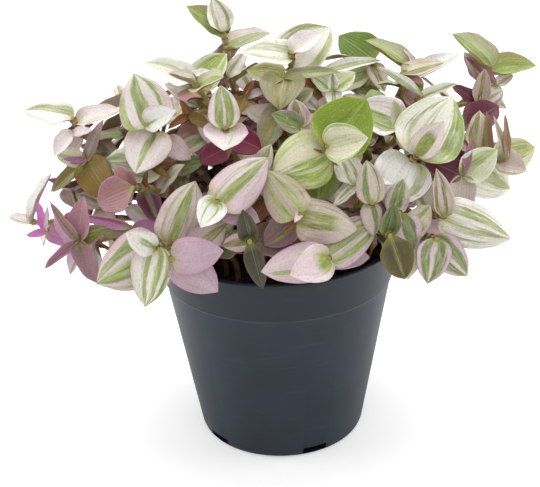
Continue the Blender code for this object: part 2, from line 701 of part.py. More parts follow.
def make_stem(stem):
    """One leafy stem: its tube and its blades, joined in one solid."""
    name = "vine_" + stem.name
    body = add_object(name, *tube(stem.route, route_radii(len(stem.route)), STEM_SIDES))
    blades = [add_object("blade", *blade(leaf, stem.stations)) for leaf in stem.leaves if leaf]
    if blades:
        combine(body, blades, "UNION", "MANIFOLD")
        keep_largest_piece(body)
    body.data.materials.clear()
    body.data.materials.append(material(name, stem.colour))
    return body


def main():
    clear_scene()
    stems = lay_stems()
    make_pot()
    make_soil(stems)
    for stem in stems:
        make_stem(stem)


if __name__ == "__main__":
    main()
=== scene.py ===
# %% [markdown]
# A potted turtle vine, dressed over its solids.
#
# The part's solids already hold the pot, the soil and every leafy stem at their real size. This
# notebook keeps those forms and gives each the surface that a close look expects: thin fleshy
# leaves with painted stripes, swollen joints with their sheaths, crumbs of soil and moulded
# plastic. Everything is in metres, with the middle of the pot's underside at the origin.

# %% Open the frame
import math
import random
from collections import namedtuple

import bmesh
import bpy
from mathutils import Matrix, Vector
from mathutils.bvhtree import BVHTree


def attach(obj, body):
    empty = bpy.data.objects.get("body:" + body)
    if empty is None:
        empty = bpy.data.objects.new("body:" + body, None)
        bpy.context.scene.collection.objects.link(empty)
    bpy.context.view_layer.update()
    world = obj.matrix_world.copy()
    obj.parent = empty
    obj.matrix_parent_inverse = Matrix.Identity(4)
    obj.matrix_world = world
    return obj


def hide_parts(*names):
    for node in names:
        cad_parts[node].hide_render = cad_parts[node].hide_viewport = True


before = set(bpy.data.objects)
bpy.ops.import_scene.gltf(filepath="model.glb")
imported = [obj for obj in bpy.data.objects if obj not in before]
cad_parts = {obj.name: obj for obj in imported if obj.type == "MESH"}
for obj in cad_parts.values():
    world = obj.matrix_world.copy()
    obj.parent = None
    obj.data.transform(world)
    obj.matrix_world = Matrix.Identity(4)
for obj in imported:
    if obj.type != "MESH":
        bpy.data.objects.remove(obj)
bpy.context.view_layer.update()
MM = 0.001

# %% [markdown]
# The camera looks down on the plant from in front and a little above, through a long lens, as in
# a catalogue portrait. Its height, distance and tilt come from the pot: the rim and the base are
# circles of known size, so the two ellipses that they make in the picture fix the viewpoint.

# %% The camera
CAMERA_DISTANCE = 0.400
CAMERA_HEIGHT = 0.2583
PITCH = 0.431
YAW = 0.007
ROLL = -0.032
PICTURE_WIDTH = 540
FOCAL_PIXELS = 1181.0
SENSOR = 36.0


def make_camera():
    """A long lens at the picture's viewpoint, with everything in focus."""
    data = bpy.data.cameras.new("portrait")
    data.sensor_width = SENSOR
    data.lens = FOCAL_PIXELS / PICTURE_WIDTH * SENSOR
    camera = bpy.data.objects.new("portrait", data)
    bpy.context.scene.collection.objects.link(camera)
    turn = Matrix.Rotation(YAW, 3, "Z")
    level = turn @ Vector((1, 0, 0))
    ahead = turn @ Vector((0, math.cos(PITCH), -math.sin(PITCH)))
    above = level.cross(ahead)
    right = level * math.cos(ROLL) + above * math.sin(ROLL)
    up = above * math.cos(ROLL) - level * math.sin(ROLL)
    axes = Matrix((right, up, -ahead)).transposed().to_4x4()
    camera.matrix_world = Matrix.Translation((0, -CAMERA_DISTANCE, CAMERA_HEIGHT)) @ axes
    bpy.context.scene.camera = camera
    return camera


print("lens mm", round(make_camera().data.lens, 1))

# %% [markdown]
# Studio light for a white catalogue picture is mostly sky: a bright even surround, a broad soft
# box overhead for the soft shading of the leaves, and a weaker one from the front. A sun would
# give hard shadows, which the picture doesn't have.

# %% Light, floor and surround
FLOOR_SIDE = 8.0
SURROUND_STRENGTH = 0.34
FLOOR_GLOW = 0.38
LIGHTS = (
    ("overhead", (0.0, 0.30, 1.05), 1.0, 8.8),
    ("front", (0.1, -0.9, 0.9), 0.9, 3.3),
    ("left", (-1.1, 0.0, 0.45), 0.8, 5.5),
    ("right", (1.1, 0.0, 0.45), 0.8, 5.5),
)


def soft_box(name, place, side, power):
    """A square soft light that faces the middle of the plant."""
    data = bpy.data.lights.new(name, "AREA")
    data.shape = "SQUARE"
    data.size = side
    data.energy = power
    lamp = bpy.data.objects.new(name, data)
    lamp.location = place
    lamp.rotation_euler = (Vector((0, 0, 0.1)) - Vector(place)).to_track_quat("-Z", "Y").to_euler()
    bpy.context.scene.collection.objects.link(lamp)


def paper_material():
    """White paper that is lit a little from below, as on a light table, so its shadows are faint."""
    made = bpy.data.materials.new("white paper")
    made.use_nodes = True
    tree = made.node_tree
    shader = tree.nodes["Principled BSDF"].inputs
    shader["Base Color"].default_value = (0.93, 0.93, 0.93, 1)
    shader["Roughness"].default_value = 0.9
    shader["Emission Color"].default_value = (1, 1, 1, 1)
    seen = tree.nodes.new("ShaderNodeMath")
    seen.operation = "MULTIPLY"
    seen.inputs[1].default_value = FLOOR_GLOW
    tree.links.new(tree.nodes.new("ShaderNodeLightPath").outputs["Is Camera Ray"], seen.inputs[0])
    tree.links.new(seen.outputs[0], shader["Emission Strength"])
    return made


def make_stage():
    """The white floor, the surround and the lights."""
    half = FLOOR_SIDE / 2
    mesh = bpy.data.meshes.new("floor")
    corners = [(-half, -half, 0), (half, -half, 0), (half, half, 0), (-half, half, 0)]
    mesh.from_pydata(corners, [], [(0, 1, 2, 3)])
    mesh.materials.append(paper_material())
    floor = bpy.data.objects.new("floor", mesh)
    bpy.context.scene.collection.objects.link(floor)
    world = bpy.data.worlds.new("surround")
    world.use_nodes = True
    sky = world.node_tree.nodes["Background"]
    sky.inputs["Color"].default_value = (1, 1, 1, 1)
    sky.inputs["Strength"].default_value = SURROUND_STRENGTH
    bpy.context.scene.world = world
    bpy.context.scene.view_settings.view_transform = "Standard"
    for light in LIGHTS:
        soft_box(*light)


make_stage()
print("lights", len(LIGHTS))

# %% [markdown]
# Both materials and Geometry Nodes are trees of small nodes. Building one by hand in the editor
# is quick, but a script has to name every socket, so this small board gives short ways to add
# a node, to feed it with numbers or with other sockets, and to do sums.

# %% A board for building node trees


class Board:
    """A node tree with short ways to add to it."""

    def __init__(self, tree):
        self.tree = tree

    def node(self, kind, **settings):
        made = self.tree.nodes.new(kind)
        for name, value in settings.items():
            setattr(made, name, value)
        return made

    def feed(self, socket, value):
        if isinstance(value, bpy.types.NodeSocket):
            self.tree.links.new(value, socket)
        else:
            socket.default_value = value

    def fed(self, kind, inputs, **settings):
        """A node with some of its inputs fed, by name or number."""
        made = self.node(kind, **settings)
        for name, value in inputs.items():
            self.feed(made.inputs[name], value)
        return made

    def first(self, kind, inputs, **settings):
        """The first output of a fed node."""
        return self.fed(kind, inputs, **settings).outputs[0]

    def maths(self, operation, *values, clamp=False):
        made = self.node("ShaderNodeMath", operation=operation, use_clamp=clamp)
        for socket, value in zip(made.inputs, values):
            self.feed(socket, value)
        return made.outputs[0]

    def times(self, first, second):
        return self.maths("MULTIPLY", first, second)

    def plus(self, first, second):
        return self.maths("ADD", first, second)

    def minus(self, first, second):
        return self.maths("SUBTRACT", first, second)

    def sloped(self, value, slope, shift):
        """A value times a slope, plus a shift."""
        return self.maths("MULTIPLY_ADD", value, slope, shift)

    def vector(self, operation, *values):
        made = self.node("ShaderNodeVectorMath", operation=operation)
        for socket, value in zip(made.inputs, values):
            self.feed(socket, value)
        return made.outputs["Vector"]

    def scaled(self, vector, factor):
        made = self.fed("ShaderNodeVectorMath", {0: vector, "Scale": factor}, operation="SCALE")
        return made.outputs["Vector"]

    def triple(self, x, y, z):
        return self.first("ShaderNodeCombineXYZ", {0: x, 1: y, 2: z})

    def split(self, vector):
        return self.fed("ShaderNodeSeparateXYZ", {0: vector}).outputs

    def ramp(self, value, start, end):
        """0 where a value is at start, 1 at end, straight between and clamped."""
        slope = 1 / (end - start)
        return self.maths("MULTIPLY_ADD", value, slope, -start * slope, clamp=True)

    def noise(self, vector, scale=1.0, detail=2.0):
        inputs = {"Vector": vector, "Scale": scale, "Detail": detail}
        return self.first("ShaderNodeTexNoise", inputs)

    def blend(self, factor, first, second):
        made = self.fed("ShaderNodeMix", {0: factor, 6: first, 7: second}, data_type="RGBA")
        return made.outputs[2]

    def attribute(self, name, output="Fac"):
        return self.node("ShaderNodeAttribute", attribute_name=name).outputs[output]

    def own_place(self):
        """A point's place on its own object."""
        return self.node("ShaderNodeTexCoord").outputs["Object"]

    def relief(self, shader, height, strength, depth):
        """Fine relief on a shader's surface, from a height."""
        inputs = {"Strength": strength, "Distance": depth, "Height": height}
        self.feed(shader["Normal"], self.first("ShaderNodeBump", inputs))

    def named(self, name, kind="FLOAT"):
        """A named attribute, inside Geometry Nodes."""
        made = self.fed("GeometryNodeInputNamedAttribute", {"Name": name}, data_type=kind)
        return made.outputs["Attribute"]

    def material(self, shape, material, **more):
        """A shape with a material on it, inside Geometry Nodes."""
        return self.first("GeometryNodeSetMaterial",
                          {"Geometry": shape, "Material": material, **more})


print("the board is ready")

# %% [markdown]
# A few helpers use the board or stand beside it: node groups, materials, colours given as a
# screen shows them, new objects, and modifiers that are settled into the mesh.

# %% Groups, materials, colours and objects
def new_group(name, kind, inputs, outputs):
    """A node group with its sockets, given as (name, type, default) and (name, type)."""
    tree = bpy.data.node_groups.new(name, kind)
    for title, socket, default in inputs:
        made = tree.interface.new_socket(title, in_out="INPUT", socket_type="NodeSocket" + socket)
        if default is not None:
            made.default_value = default
    for title, socket in outputs:
        tree.interface.new_socket(title, in_out="OUTPUT", socket_type="NodeSocket" + socket)
    board = Board(tree)
    return board, board.node("NodeGroupInput").outputs, board.node("NodeGroupOutput").inputs


def material_board(name):
    """A new material with a Principled shader, and a board for its tree."""
    made = bpy.data.materials.new(name)
    made.use_nodes = True
    return made, Board(made.node_tree), made.node_tree.nodes["Principled BSDF"].inputs


def new_object(name, points, edges, faces):
    """A new object of the scene from points, edges and faces."""
    mesh = bpy.data.meshes.new(name)
    mesh.from_pydata([tuple(point) for point in points], edges, faces)
    made = bpy.data.objects.new(name, mesh)
    bpy.context.scene.collection.objects.link(made)
    return made


def settle(piece):
    """Turn a piece's modifiers into its mesh."""
    evaluated = piece.evaluated_get(bpy.context.evaluated_depsgraph_get())
    piece.data = bpy.data.meshes.new_from_object(evaluated)
    piece.modifiers.clear()


def grow(piece, tree, values):
    """Run a Geometry Nodes tree on a piece, with inputs by their sockets' names."""
    grower = piece.modifiers.new("grow", "NODES")
    grower.node_group = tree
    for socket in tree.interface.items_tree:
        if socket.in_out == "INPUT" and socket.name in values:
            grower[socket.identifier] = values[socket.name]
    settle(piece)


def tree_inputs(values):
    """The rows of a tree's inputs, from their names and defaults."""
    kinds = {float: "Float", int: "Int", bpy.types.Object: "Object"}
    return [(name, kinds[type(value)], value) for name, value in values.items()]


def srgb(red, green, blue):
    """A linear colour from the 0 to 255 values that a screen shows."""
    linear = []
    for level in (red, green, blue):
        level /= 255
        linear.append(level / 12.92 if level <= 0.04045 else ((level + 0.055) / 1.055) ** 2.4)
    return (*linear, 1.0)


print("white is", srgb(255, 255, 255))

# %% [markdown]
# A turtle vine's leaf is white, cream or pink where it has lost its green, and green in stripes
# that follow the veins from base to point. The pattern is a shader node group, because the upper
# and the lower face of a leaf share it. It works on the leaf's own UV map, across and along the
# blade, so a stripe at a fixed place across narrows towards both ends just as a vein does. Each
# leaf carries its own stripes and colours as attributes, and noise frays the edges of a stripe.

# %% The painted stripes of a leaf
RIM_WIDTH = 0.06
STRIPE_SOFTNESS = 0.12
STRIPE_WANDER = 0.36
END_SLOPE = 5.0
CELLS_PER_METRE = 1700.0
LIGHT_GREEN_GAMMA = 0.62
SHADE_GREEN = srgb(92, 102, 26)
HEART = srgb(170, 174, 86)
# The pale colour of the painted highlights that fleck a leaf's cells
PAINTED_GLINT = srgb(244, 242, 232)
FRECKLE = srgb(116, 88, 78)
MIDRIB = srgb(222, 218, 170)

# How strongly each of these layers covers the one below
BLUSH_STRENGTH = 0.40
WASH_STRENGTH = 0.20
SHADE_STRENGTH = 0.30
GREEN_STRENGTH = 0.92
HEART_STRENGTH = 0.5
RIM_STRENGTH = 0.75
FRECKLE_STRENGTH = 0.26
MIDRIB_STRENGTH = 0.30

# The midrib's half-width, as a share of the leaf's, and how densely the veins stand
MIDRIB_WIDTH = 0.035
VEIN_RATE = 34.0


def leaf_markings():
    """The group that paints a leaf: its colour with painted highlights on its cells, its rim and its
    fine relief.
    """
    inputs = [("Rim width", "Float", RIM_WIDTH), ("Softness", "Float", STRIPE_SOFTNESS),
              ("Cells", "Float", CELLS_PER_METRE)]
    outputs = [("Colour", "Color"), ("Rim", "Float"), ("Relief", "Float")]
    board, given, result = new_group("leaf markings", "ShaderNodeTree", inputs, outputs)
    uv = board.split(board.node("ShaderNodeUVMap", uv_map="leaf").outputs[0])
    across = board.sloped(uv[0], 2.0, -1.0)
    along = uv[1]
    seed = board.attribute("seed")
    streaks = board.attribute("streaks")

    def grain(wide, long, shift, detail=2.0):
        """Noise stretched along the leaf, different on each leaf."""
        sample = board.triple(board.times(across, wide), board.times(along, long),
                              board.times(seed, shift))
        return board.noise(sample, detail=detail)

    def thrice(value):
        return board.triple(value, value, value)

    def clamped(vector):
        low, high = (0.0, 0.0, 0.0), (1.0, 1.0, 1.0)
        return board.vector("MAXIMUM", board.vector("MINIMUM", vector, high), low)

    wander = board.sloped(grain(0.9, 2.2, 31.0), STRIPE_WANDER, -STRIPE_WANDER / 2)
    threads = board.minus(grain(11.0, 1.1, 57.0, 4.0), 0.5)
    fray = board.times(threads, board.sloped(streaks, 0.75, 0.22))
    apart = board.vector("SUBTRACT", thrice(board.plus(across, wander)),
                         board.attribute("places", "Vector"))
    room = board.vector("SUBTRACT", board.attribute("widths", "Vector"),
                        board.vector("ABSOLUTE", apart))
    room = board.vector("ADD", room, thrice(fray))
    inside = clamped(board.scaled(room, board.maths("DIVIDE", 1.0, given["Softness"])))
    left = board.vector("SUBTRACT", board.attribute("ends", "Vector"), thrice(along))
    stripes = board.split(board.vector("MULTIPLY", inside, clamped(board.scaled(left, END_SLOPE))))
    green = board.maths("MAXIMUM", stripes[0], board.maths("MAXIMUM", stripes[1], stripes[2]))

    hairlines = board.ramp(grain(8.5, 0.8, 83.0), 0.52, 0.64)
    hairlines = board.times(hairlines, board.sloped(streaks, 0.62, 0.10))
    green = board.maths("MAXIMUM", green, hairlines)
    gaps = board.ramp(grain(7.0, 3.5, 17.0, 4.0), 0.50, 0.68)
    gaps = board.times(gaps, board.sloped(streaks, 0.45, 0.28))
    green = board.times(green, board.minus(1.0, gaps))

    edge = board.maths("ABSOLUTE", across)
    rim = board.minus(edge, board.minus(1.0, given["Rim width"]))
    rim = board.maths("DIVIDE", rim, given["Rim width"])
    rim = board.maths("MAXIMUM", rim, board.ramp(along, 0.955, 0.995), clamp=True)
    blush = board.times(board.maths("POWER", edge, 3.0), BLUSH_STRENGTH)
    blush = board.sloped(board.ramp(grain(1.3, 1.8, 19.0), 0.42, 0.75), 0.12, blush)

    rim_colour = board.attribute("rim", "Color")
    pale = board.blend(blush, board.attribute("pale", "Color"), rim_colour)
    wash = board.times(board.ramp(grain(2.6, 1.4, 71.0, 4.0), 0.46, 0.74), WASH_STRENGTH)
    deep = board.attribute("green", "Color")
    pale = board.blend(wash, pale, deep)
    light = board.first("ShaderNodeGamma", {"Color": deep, "Gamma": LIGHT_GREEN_GAMMA})
    shade = board.blend(SHADE_STRENGTH, deep, SHADE_GREEN)
    tone = board.blend(board.ramp(grain(6.0, 2.2, 43.0, 4.0), 0.38, 0.64), shade, light)
    colour = board.blend(board.times(green, GREEN_STRENGTH), pale, tone)
    heart = board.times(board.ramp(along, 0.20, 0.03), HEART_STRENGTH)
    colour = board.blend(heart, colour, HEART)
    colour = board.blend(board.times(rim, RIM_STRENGTH), colour, rim_colour)

    cells = board.noise(board.scaled(board.own_place(), given["Cells"]), detail=3.0)
    # Painted highlights: pale flecks on the cells, more where the colour is greener, stand in for
    # glints of light off the leaf
    glint_share = board.sloped(board.split(colour)[1], 0.62, 0.05)
    colour = board.blend(board.times(board.ramp(cells, 0.58, 0.78), glint_share), colour, PAINTED_GLINT)
    freckles = board.times(board.ramp(cells, 0.46, 0.30), FRECKLE_STRENGTH)
    colour = board.blend(freckles, colour, FRECKLE)
    rib = board.ramp(edge, MIDRIB_WIDTH, 0.0)
    colour = board.blend(board.times(rib, MIDRIB_STRENGTH), colour, MIDRIB)
    veins = board.maths("SINE", board.times(across, VEIN_RATE))
    relief = board.minus(board.sloped(veins, 0.35, board.times(cells, 0.9)), board.times(rib, 0.8))
    for name, value in (("Colour", colour), ("Rim", rim), ("Relief", relief)):
        board.feed(result[name], value)
    return board.tree


MARKINGS = leaf_markings()
print("nodes in the leaf pattern", len(MARKINGS.nodes))

# %% [markdown]
# A leaf's upper face is satin, with a faint relief of veins and cells. Its lower face is mostly
# purple and lets the stripes through faintly. Light also passes through the flesh, which a little
# subsurface scattering gives.

# %% The two faces of a leaf
LEAF_ROUGHNESS = 0.42
FLESH_DEPTH = 0.9 * MM


def leaf_material(name, show_through):
    """A face of a leaf: its own paint, or its under colour with the paint showing through."""
    made, board, shader = material_board(name)
    paint = board.node("ShaderNodeGroup", node_tree=MARKINGS).outputs
    colour = paint["Colour"]
    if show_through < 1:
        colour = board.blend(show_through, board.attribute("under", "Color"), colour)
        edged = board.times(paint["Rim"], 0.5)
        colour = board.blend(edged, colour, board.attribute("rim", "Color"))
    board.feed(shader["Base Color"], colour)
    board.relief(shader, paint["Relief"], 0.30, 0.25 * MM)
    shader["Roughness"].default_value = LEAF_ROUGHNESS
    shader["Subsurface Weight"].default_value = 0.12
    shader["Subsurface Radius"].default_value = (1.0, 0.8, 0.45)
    shader["Subsurface Scale"].default_value = FLESH_DEPTH
    return made


LEAF_UPPER = leaf_material("leaf upper face", 1.0)
LEAF_UNDER = leaf_material("leaf lower face", 0.30)
print("leaf materials", LEAF_UPPER.name, "and", LEAF_UNDER.name)

# %% [markdown]
# Stems are olive green and tender near the tip, and turn purple brown and a little woody towards
# the soil. Their sheaths are thin skins: pinkish when young, and orange brown once they dry.

# %% Stem and sheath
def stem_material():
    """The stem's skin: green at the tip, purple brown at the foot, with fine streaks."""
    made, board, shader = material_board("stem skin")
    place = board.own_place()
    blotches = board.noise(place, 420.0, 3.0)
    age = board.plus(board.attribute("age"), board.minus(blotches, 0.5))
    young = board.blend(board.ramp(age, 0.0, 0.45), srgb(166, 158, 80), srgb(138, 106, 76))
    colour = board.blend(board.ramp(age, 0.45, 0.95), young, srgb(104, 62, 56))
    flushed = board.times(board.attribute("joint"), board.ramp(age, 0.1, 0.5))
    board.feed(shader["Base Color"], board.blend(flushed, colour, srgb(122, 60, 74)))
    ribs = board.noise(board.vector("MULTIPLY", place, (2600.0, 2600.0, 500.0)))
    board.relief(shader, ribs, 0.3, 0.2 * MM)
    shader["Roughness"].default_value = 0.45
    shader["Subsurface Weight"].default_value = 0.1
    shader["Subsurface Scale"].default_value = FLESH_DEPTH
    return made


def sheath_material():
    """A sheath: a pinkish skin, or orange brown where it has dried."""
    made, board, shader = material_board("sheath skin")
    fibres = board.noise(board.own_place(), 1500.0, 3.0)
    fresh = board.blend(fibres, srgb(150, 122, 92), srgb(198, 182, 134))
    dry = board.blend(fibres, srgb(120, 58, 22), srgb(196, 122, 58))
    board.feed(shader["Base Color"], board.blend(board.attribute("dry"), fresh, dry))
    board.relief(shader, fibres, 0.4, 0.2 * MM)
    shader["Roughness"].default_value = 0.55
    return made


STEM_SKIN = stem_material()
SHEATH_SKIN = sheath_material()
print("stem materials", STEM_SKIN.name, "and", SHEATH_SKIN.name)

# %% [markdown]
# The layout rule comes next, the same one that laid out the solids, so that each fine leaf lies
# on its solid. Everything in it is a real size: the pot's driving dimensions, the spacing of
# joints along a stem, and how a leaf swells, folds and bends.

# %% Sizes of the pot, the soil, the stems and the leaves
# Pot
RIM_RADIUS = 45.0 * MM
POT_HEIGHT = 79.5 * MM
BASE_RADIUS = 31.2 * MM
SEAM_HEIGHT = 63.5 * MM
SEAM_RADIUS = 42.2 * MM
BAND_STEP = 0.5 * MM
WALL = 1.1 * MM
LIP = 0.5 * MM
LIP_HEIGHT = 1.6 * MM
BASE_CORNER = 2.6 * MM
CORNER_CUT = 0.29 * BASE_CORNER
POT_SIDES = 36

# Drain slots, cut through the pot's wall just above its base
SLOT_COUNT = 5
SLOT_FIRST_ANGLE = math.radians(-68)
SLOT_WIDTH = 9.4 * MM
SLOT_FOOT = 0.7 * MM
SLOT_HEIGHT = 3.2 * MM
SLOT_INNER_RADIUS = 26.0 * MM

# Soil, with a hole for each stem
GAP = 0.3 * MM
SOIL_TOP = POT_HEIGHT - 7.0 * MM
SOIL_CROWN = 1.5 * MM
SOIL_LUMP = 0.5 * MM
SOIL_RINGS = 3
SOIL_SIDES = 24
SOIL_SEED = 5
HOLE_DEPTH = 14.0 * MM

# Stems
STEM_RADIUS = 1.15 * MM
TIP_RADIUS = 0.8 * MM
STEM_SIDES = 5
STEM_STEPS = 7
STEM_CLEARANCE = 0.5 * MM
ROOT_LIMIT = 35.0 * MM
ROOT_SPACING = 6.4 * MM
ROOT_PASSES = 80
LOWEST_TIP_ANGLE = math.radians(80)
FOOT_RISE = 2.0 * MM
RISE_SHARE = 0.36
REACH_SHARE = 0.30
EARLY_SHIFT = 0.6
SLIM_FROM = 2 / 3

# Where the leaves sit on a stem
TOP_NODE = 0.8 * MM
FIRST_INTERNODE = 2.4 * MM
INTERNODE_GROWTH = 1.9 * MM
LONGEST_INTERNODE = 9.5 * MM
BARE_FOOT = 8.0 * MM

# Leaves; a station is a share of the blade's length at which its width is set
LEAF_THICKNESS = 1.0 * MM
LEAF_CLEARANCE = 0.3 * MM
WIDTH_RISE = 0.50
WIDTH_FALL = 0.85
FRONT_STATIONS = (0.14, 0.42, 0.74)
SCRAP_STATIONS = (0.2, 0.58)
OUTER_STATION = 0.24
CLASP = 0.55
CLASP_END = 0.25
STEEPEST_FOLD = 1.0
FLAT_OPENING = 50.0
BEND_PER_DEGREE = 0.012
MOST_BEND = 0.55
LEAST_BEND = 0.01
LIGHTWARD = Vector((0, -0.5, 0.87))

Leaf = namedtuple("Leaf", "base along normal length width bend cup")
Stem = namedtuple("Stem", "name route leaves colour")

print("rim mm", RIM_RADIUS / MM * 2, "height mm", POT_HEIGHT / MM)

# %% [markdown]
# One table row for each stem that can be told apart from in front. The far side follows a rule.

# %% The stems
# The stems that can be told apart from the front: the tip in mm, the way it faces (azimuth, with
# -90 towards the viewer, and elevation), and its leaves from the youngest down. A leaf is its
# angle about the tip as seen from in front (0 to the right, 90 up), its length in mm, its width
# over its length, how far it opens from the tip's axis, and its fold (positive is boat-shaped).
FRONT_STEMS = (
    ("striped_left", (-42, -28, 132), (-96, 34), "pale",
     ((20, 12, .90, 62, .6), (108, 19, 1.02, 70, -.3), (251, 17, 1.0, 68, .2), (-35, 11, .75, 88, .2),
      (32, 13, .50, 90, .4))),
    ("green_rosette", (17, -43, 128), (-92, 28), "green",
     ((8, 14, 1.05, 64, .5), (50, 21, .98, 82, .1), (205, 20, 1.0, 70, -.2), (264, 15, .95, 88, .1))),
    ("pale_rosette", (47, -37, 122), (-93, 32), "pale",
     ((50, 14, .88, 62, .7), (58, 24, .98, 80, .1), (238, 18, 1.12, 74, -.1), (226, 20, .90, 90, .1),
      (262, 17, .85, 96, .2))),
    ("upright_green", (-16, -33, 132), (-88, 34), "pale",
     ((94, 14, .82, 66, .4), (264, 12, 1.3, 48, .3), (-20, 13, .80, 96, .3), (200, 13, .7, 98, .3),
      (62, 14, .75, 92, .3))),
    ("striped_middle", (-19, -54, 114), (-92, 30), "pale",
     ((240, 10.5, 1.05, 62, .5), (42, 22, .72, 78, -.3), (-22, 14, .66, 86, .3),
      (129, 11, .85, 104, .1), (210, 14, .66, 94, .1))),
    ("striped_low", (-40, -56, 100), (-95, 24), "pale",
     ((150, 11, .95, 56, .6), (260, 20, .70, 72, .1), (211, 25, .80, 78, -.2), (67, 23, .74, 70, -.3))),
    ("domed_pair", (7, -57, 110), (-90, 28), "pale",
     ((240, 6, .7, 34, .9), (123, 19, .80, 80, -.4), (-13, 20, .82, 82, -.4), (216, 14, .75, 92, .1))),
    ("front_low", (16, -60, 96), (-89, 24), "pale",
     ((200, 15, .90, 60, .4), (190, 22, .62, 84, -.2), (33, 25, .68, 76, -.2), (-6, 19, .50, 96, .1))),
    ("white_right", (55, -46, 104), (-84, 26), "pale",
     ((102, 17, .55, 60, .7), (-23, 25, .66, 78, -.2), (112, 15, .60, 88, .3), (-48, 17, .60, 98, .2))),
    ("right_edge", (78, -14, 110), (-80, 26), "green",
     ((-30, 11, 1.10, 58, .6), (14, 17, .80, 80, .2), (86, 19, .34, 68, .8), (330, 18, .95, 84, .1),
      (100, 14, .60, 90, .3), (-38, 15, .60, 98, .3))),
    ("top_left", (-18, 37, 146), (-95, 72), "pale",
     ((118, 14, .85, 46, .5), (154, 19, .76, 56, .5), (16, 18, .70, 70, .4), (-48, 15, .62, 104, .4))),
    ("top_middle", (7, 5, 146), (-86, 58), "pale",
     ((24, 13, .80, 66, .5), (174, 18, .80, 74, .2), (40, 21, 1.05, 66, .4), (240, 18, .90, 60, .4),
      (18, 18, .70, 76, .4), (190, 16, .75, 70, .4))),
    ("upper_left", (-29, 5, 138), (-96, 58), "lilac",
     ((8, 8, .60, 66, .7), (166, 19, .66, 66, .4), (50, 18, .88, 64, .4), (158, 16, .70, 62, .5),
      (205, 14, .75, 80, .3), (325, 15, .62, 104, .4))),
    ("back_green", (39, 38, 133), (-90, 48), "green",
     ((141, 17, .98, 76, .1), (290, 12, .66, 84, .3), (190, 17, .66, 96, .3), (-60, 16, .66, 96, .3))),
    ("upper_right", (50, 5, 140), (-84, 70), "pale",
     ((140, 7, .60, 44, .9), (152, 20, .58, 60, .7), (10, 21, .50, 62, .5), (-32, 16, .6, 98, .4),
      (215, 15, .62, 104, .4))),
    ("far_right", (81, 25, 132), (-78, 62), "lilac",
     ((146, 20, .76, 56, .7), (-4, 19, .74, 72, .6), (104, 14, .60, 66, .5), (330, 15, .60, 84, .4))),
    ("left_high", (-71, -4, 127), (-104, 64), "purple",
     ((176, 19, .62, 76, .2), (10, 18, .58, 68, .4), (238, 13, .7, 112, .4), (320, 16, .6, 110, .3))),
    ("striped_right", (52, -50, 97), (-84, 12), "pale",
     ((256, 15, .80, 74, .1), (-50, 18, .66, 84, .1), (172, 12, .66, 92, .2))),
    ("lilac_low", (-34, -59, 97), (-91, 20), "lilac",
     ((8, 17, .74, 76, -.2), (-42, 19, .72, 86, -.1), (222, 16, .62, 84, .2), (36, 16, .66, 98, .2))),
    ("left_tip", (-88, -14, 92), (215, 24), "purple",
     ((70, 22, .32, 76, .8), (192, 18, .32, 74, .8), (262, 10, .5, 84, .6), (10, 12, .7, 92, .4))),
    ("lilac_left", (-68, -34, 92), (222, 8), "lilac",
     ((122, 14, .6, 60, .6), (240, 17, .45, 78, .5), (262, 17, .66, 90, .3), (170, 13, .6, 92, .4),
      (20, 17, .6, 98, .3))),
    ("pink_pair", (44, -18, 126), (-100, 40), "lilac",
     ((160, 18, .85, 80, .3), (110, 11, .6, 60, .6), (-20, 15, .7, 84, .2), (60, 13, .6, 88, .3))),
    ("pale_vee", (51, -8, 133), (-90, 46), "pale",
     ((148, 18, .34, 68, 1.0), (18, 15, .40, 72, .9), (262, 12, .6, 92, .4))),
    ("dark_right", (68, 2, 117), (-70, 40), "purple",
     ((20, 17, .8, 74, .5), (160, 16, .62, 88, .4), (280, 16, .70, 96, .4), (100, 13, .6, 88, .4))),
    ("pink_under", (-48, -34, 112), (-120, 14), "lilac",
     ((208, 18, .72, 84, .3), (150, 12, .6, 80, .4), (290, 14, .7, 92, .2))),
    ("olive_drop", (36.5, -54, 100.5), (-82, -4), "green",
     ((288, 17, .70, 76, .4), (80, 11, .7, 80, .3), (190, 12, .66, 90, .2))),
    ("grey_green", (-38, -24, 116), (-100, 24), "green",
     ((177, 23, .60, 86, -.1), (128, 15, .66, 86, .2), (20, 12, .6, 88, .3), (272, 14, .66, 94, .2))),
    ("dark_middle", (-9, -54, 100), (-89, 4), "purple",
     ((282, 18, .42, 78, .5), (100, 12, .6, 82, .3), (200, 11, .66, 92, .2))),
    ("striped_inner", (31, -48, 110), (-86, 22), "pale",
     ((95, 14, .70, 74, .2), (250, 13, .66, 88, .2), (340, 13, .6, 94, .2))),
    ("dark_inner", (40, -49, 106), (-88, 16), "purple",
     ((290, 14, .8, 78, .2), (205, 13, .66, 88, .2), (70, 12, .7, 92, .2))),
    ("pale_inner", (-6, -42, 119), (-90, 34), "pale",
     ((60, 11, .66, 62, .4), (180, 13, .66, 84, .2), (330, 14, .66, 90, .2), (100, 14, .66, 92, .2))),
    ("magenta_inner", (-14, -14, 121), (-80, 50), "purple",
     ((10, 16, .66, 84, .3), (170, 16, .66, 92, .3), (280, 15, .66, 96, .3), (90, 14, .66, 92, .3))),
    ("grey_crown", (2, -16, 132), (-95, 50), "lilac",
     ((250, 16, .66, 86, .3), (40, 15, .66, 76, .4), (150, 15, .66, 90, .3), (320, 15, .66, 94, .3))),
)

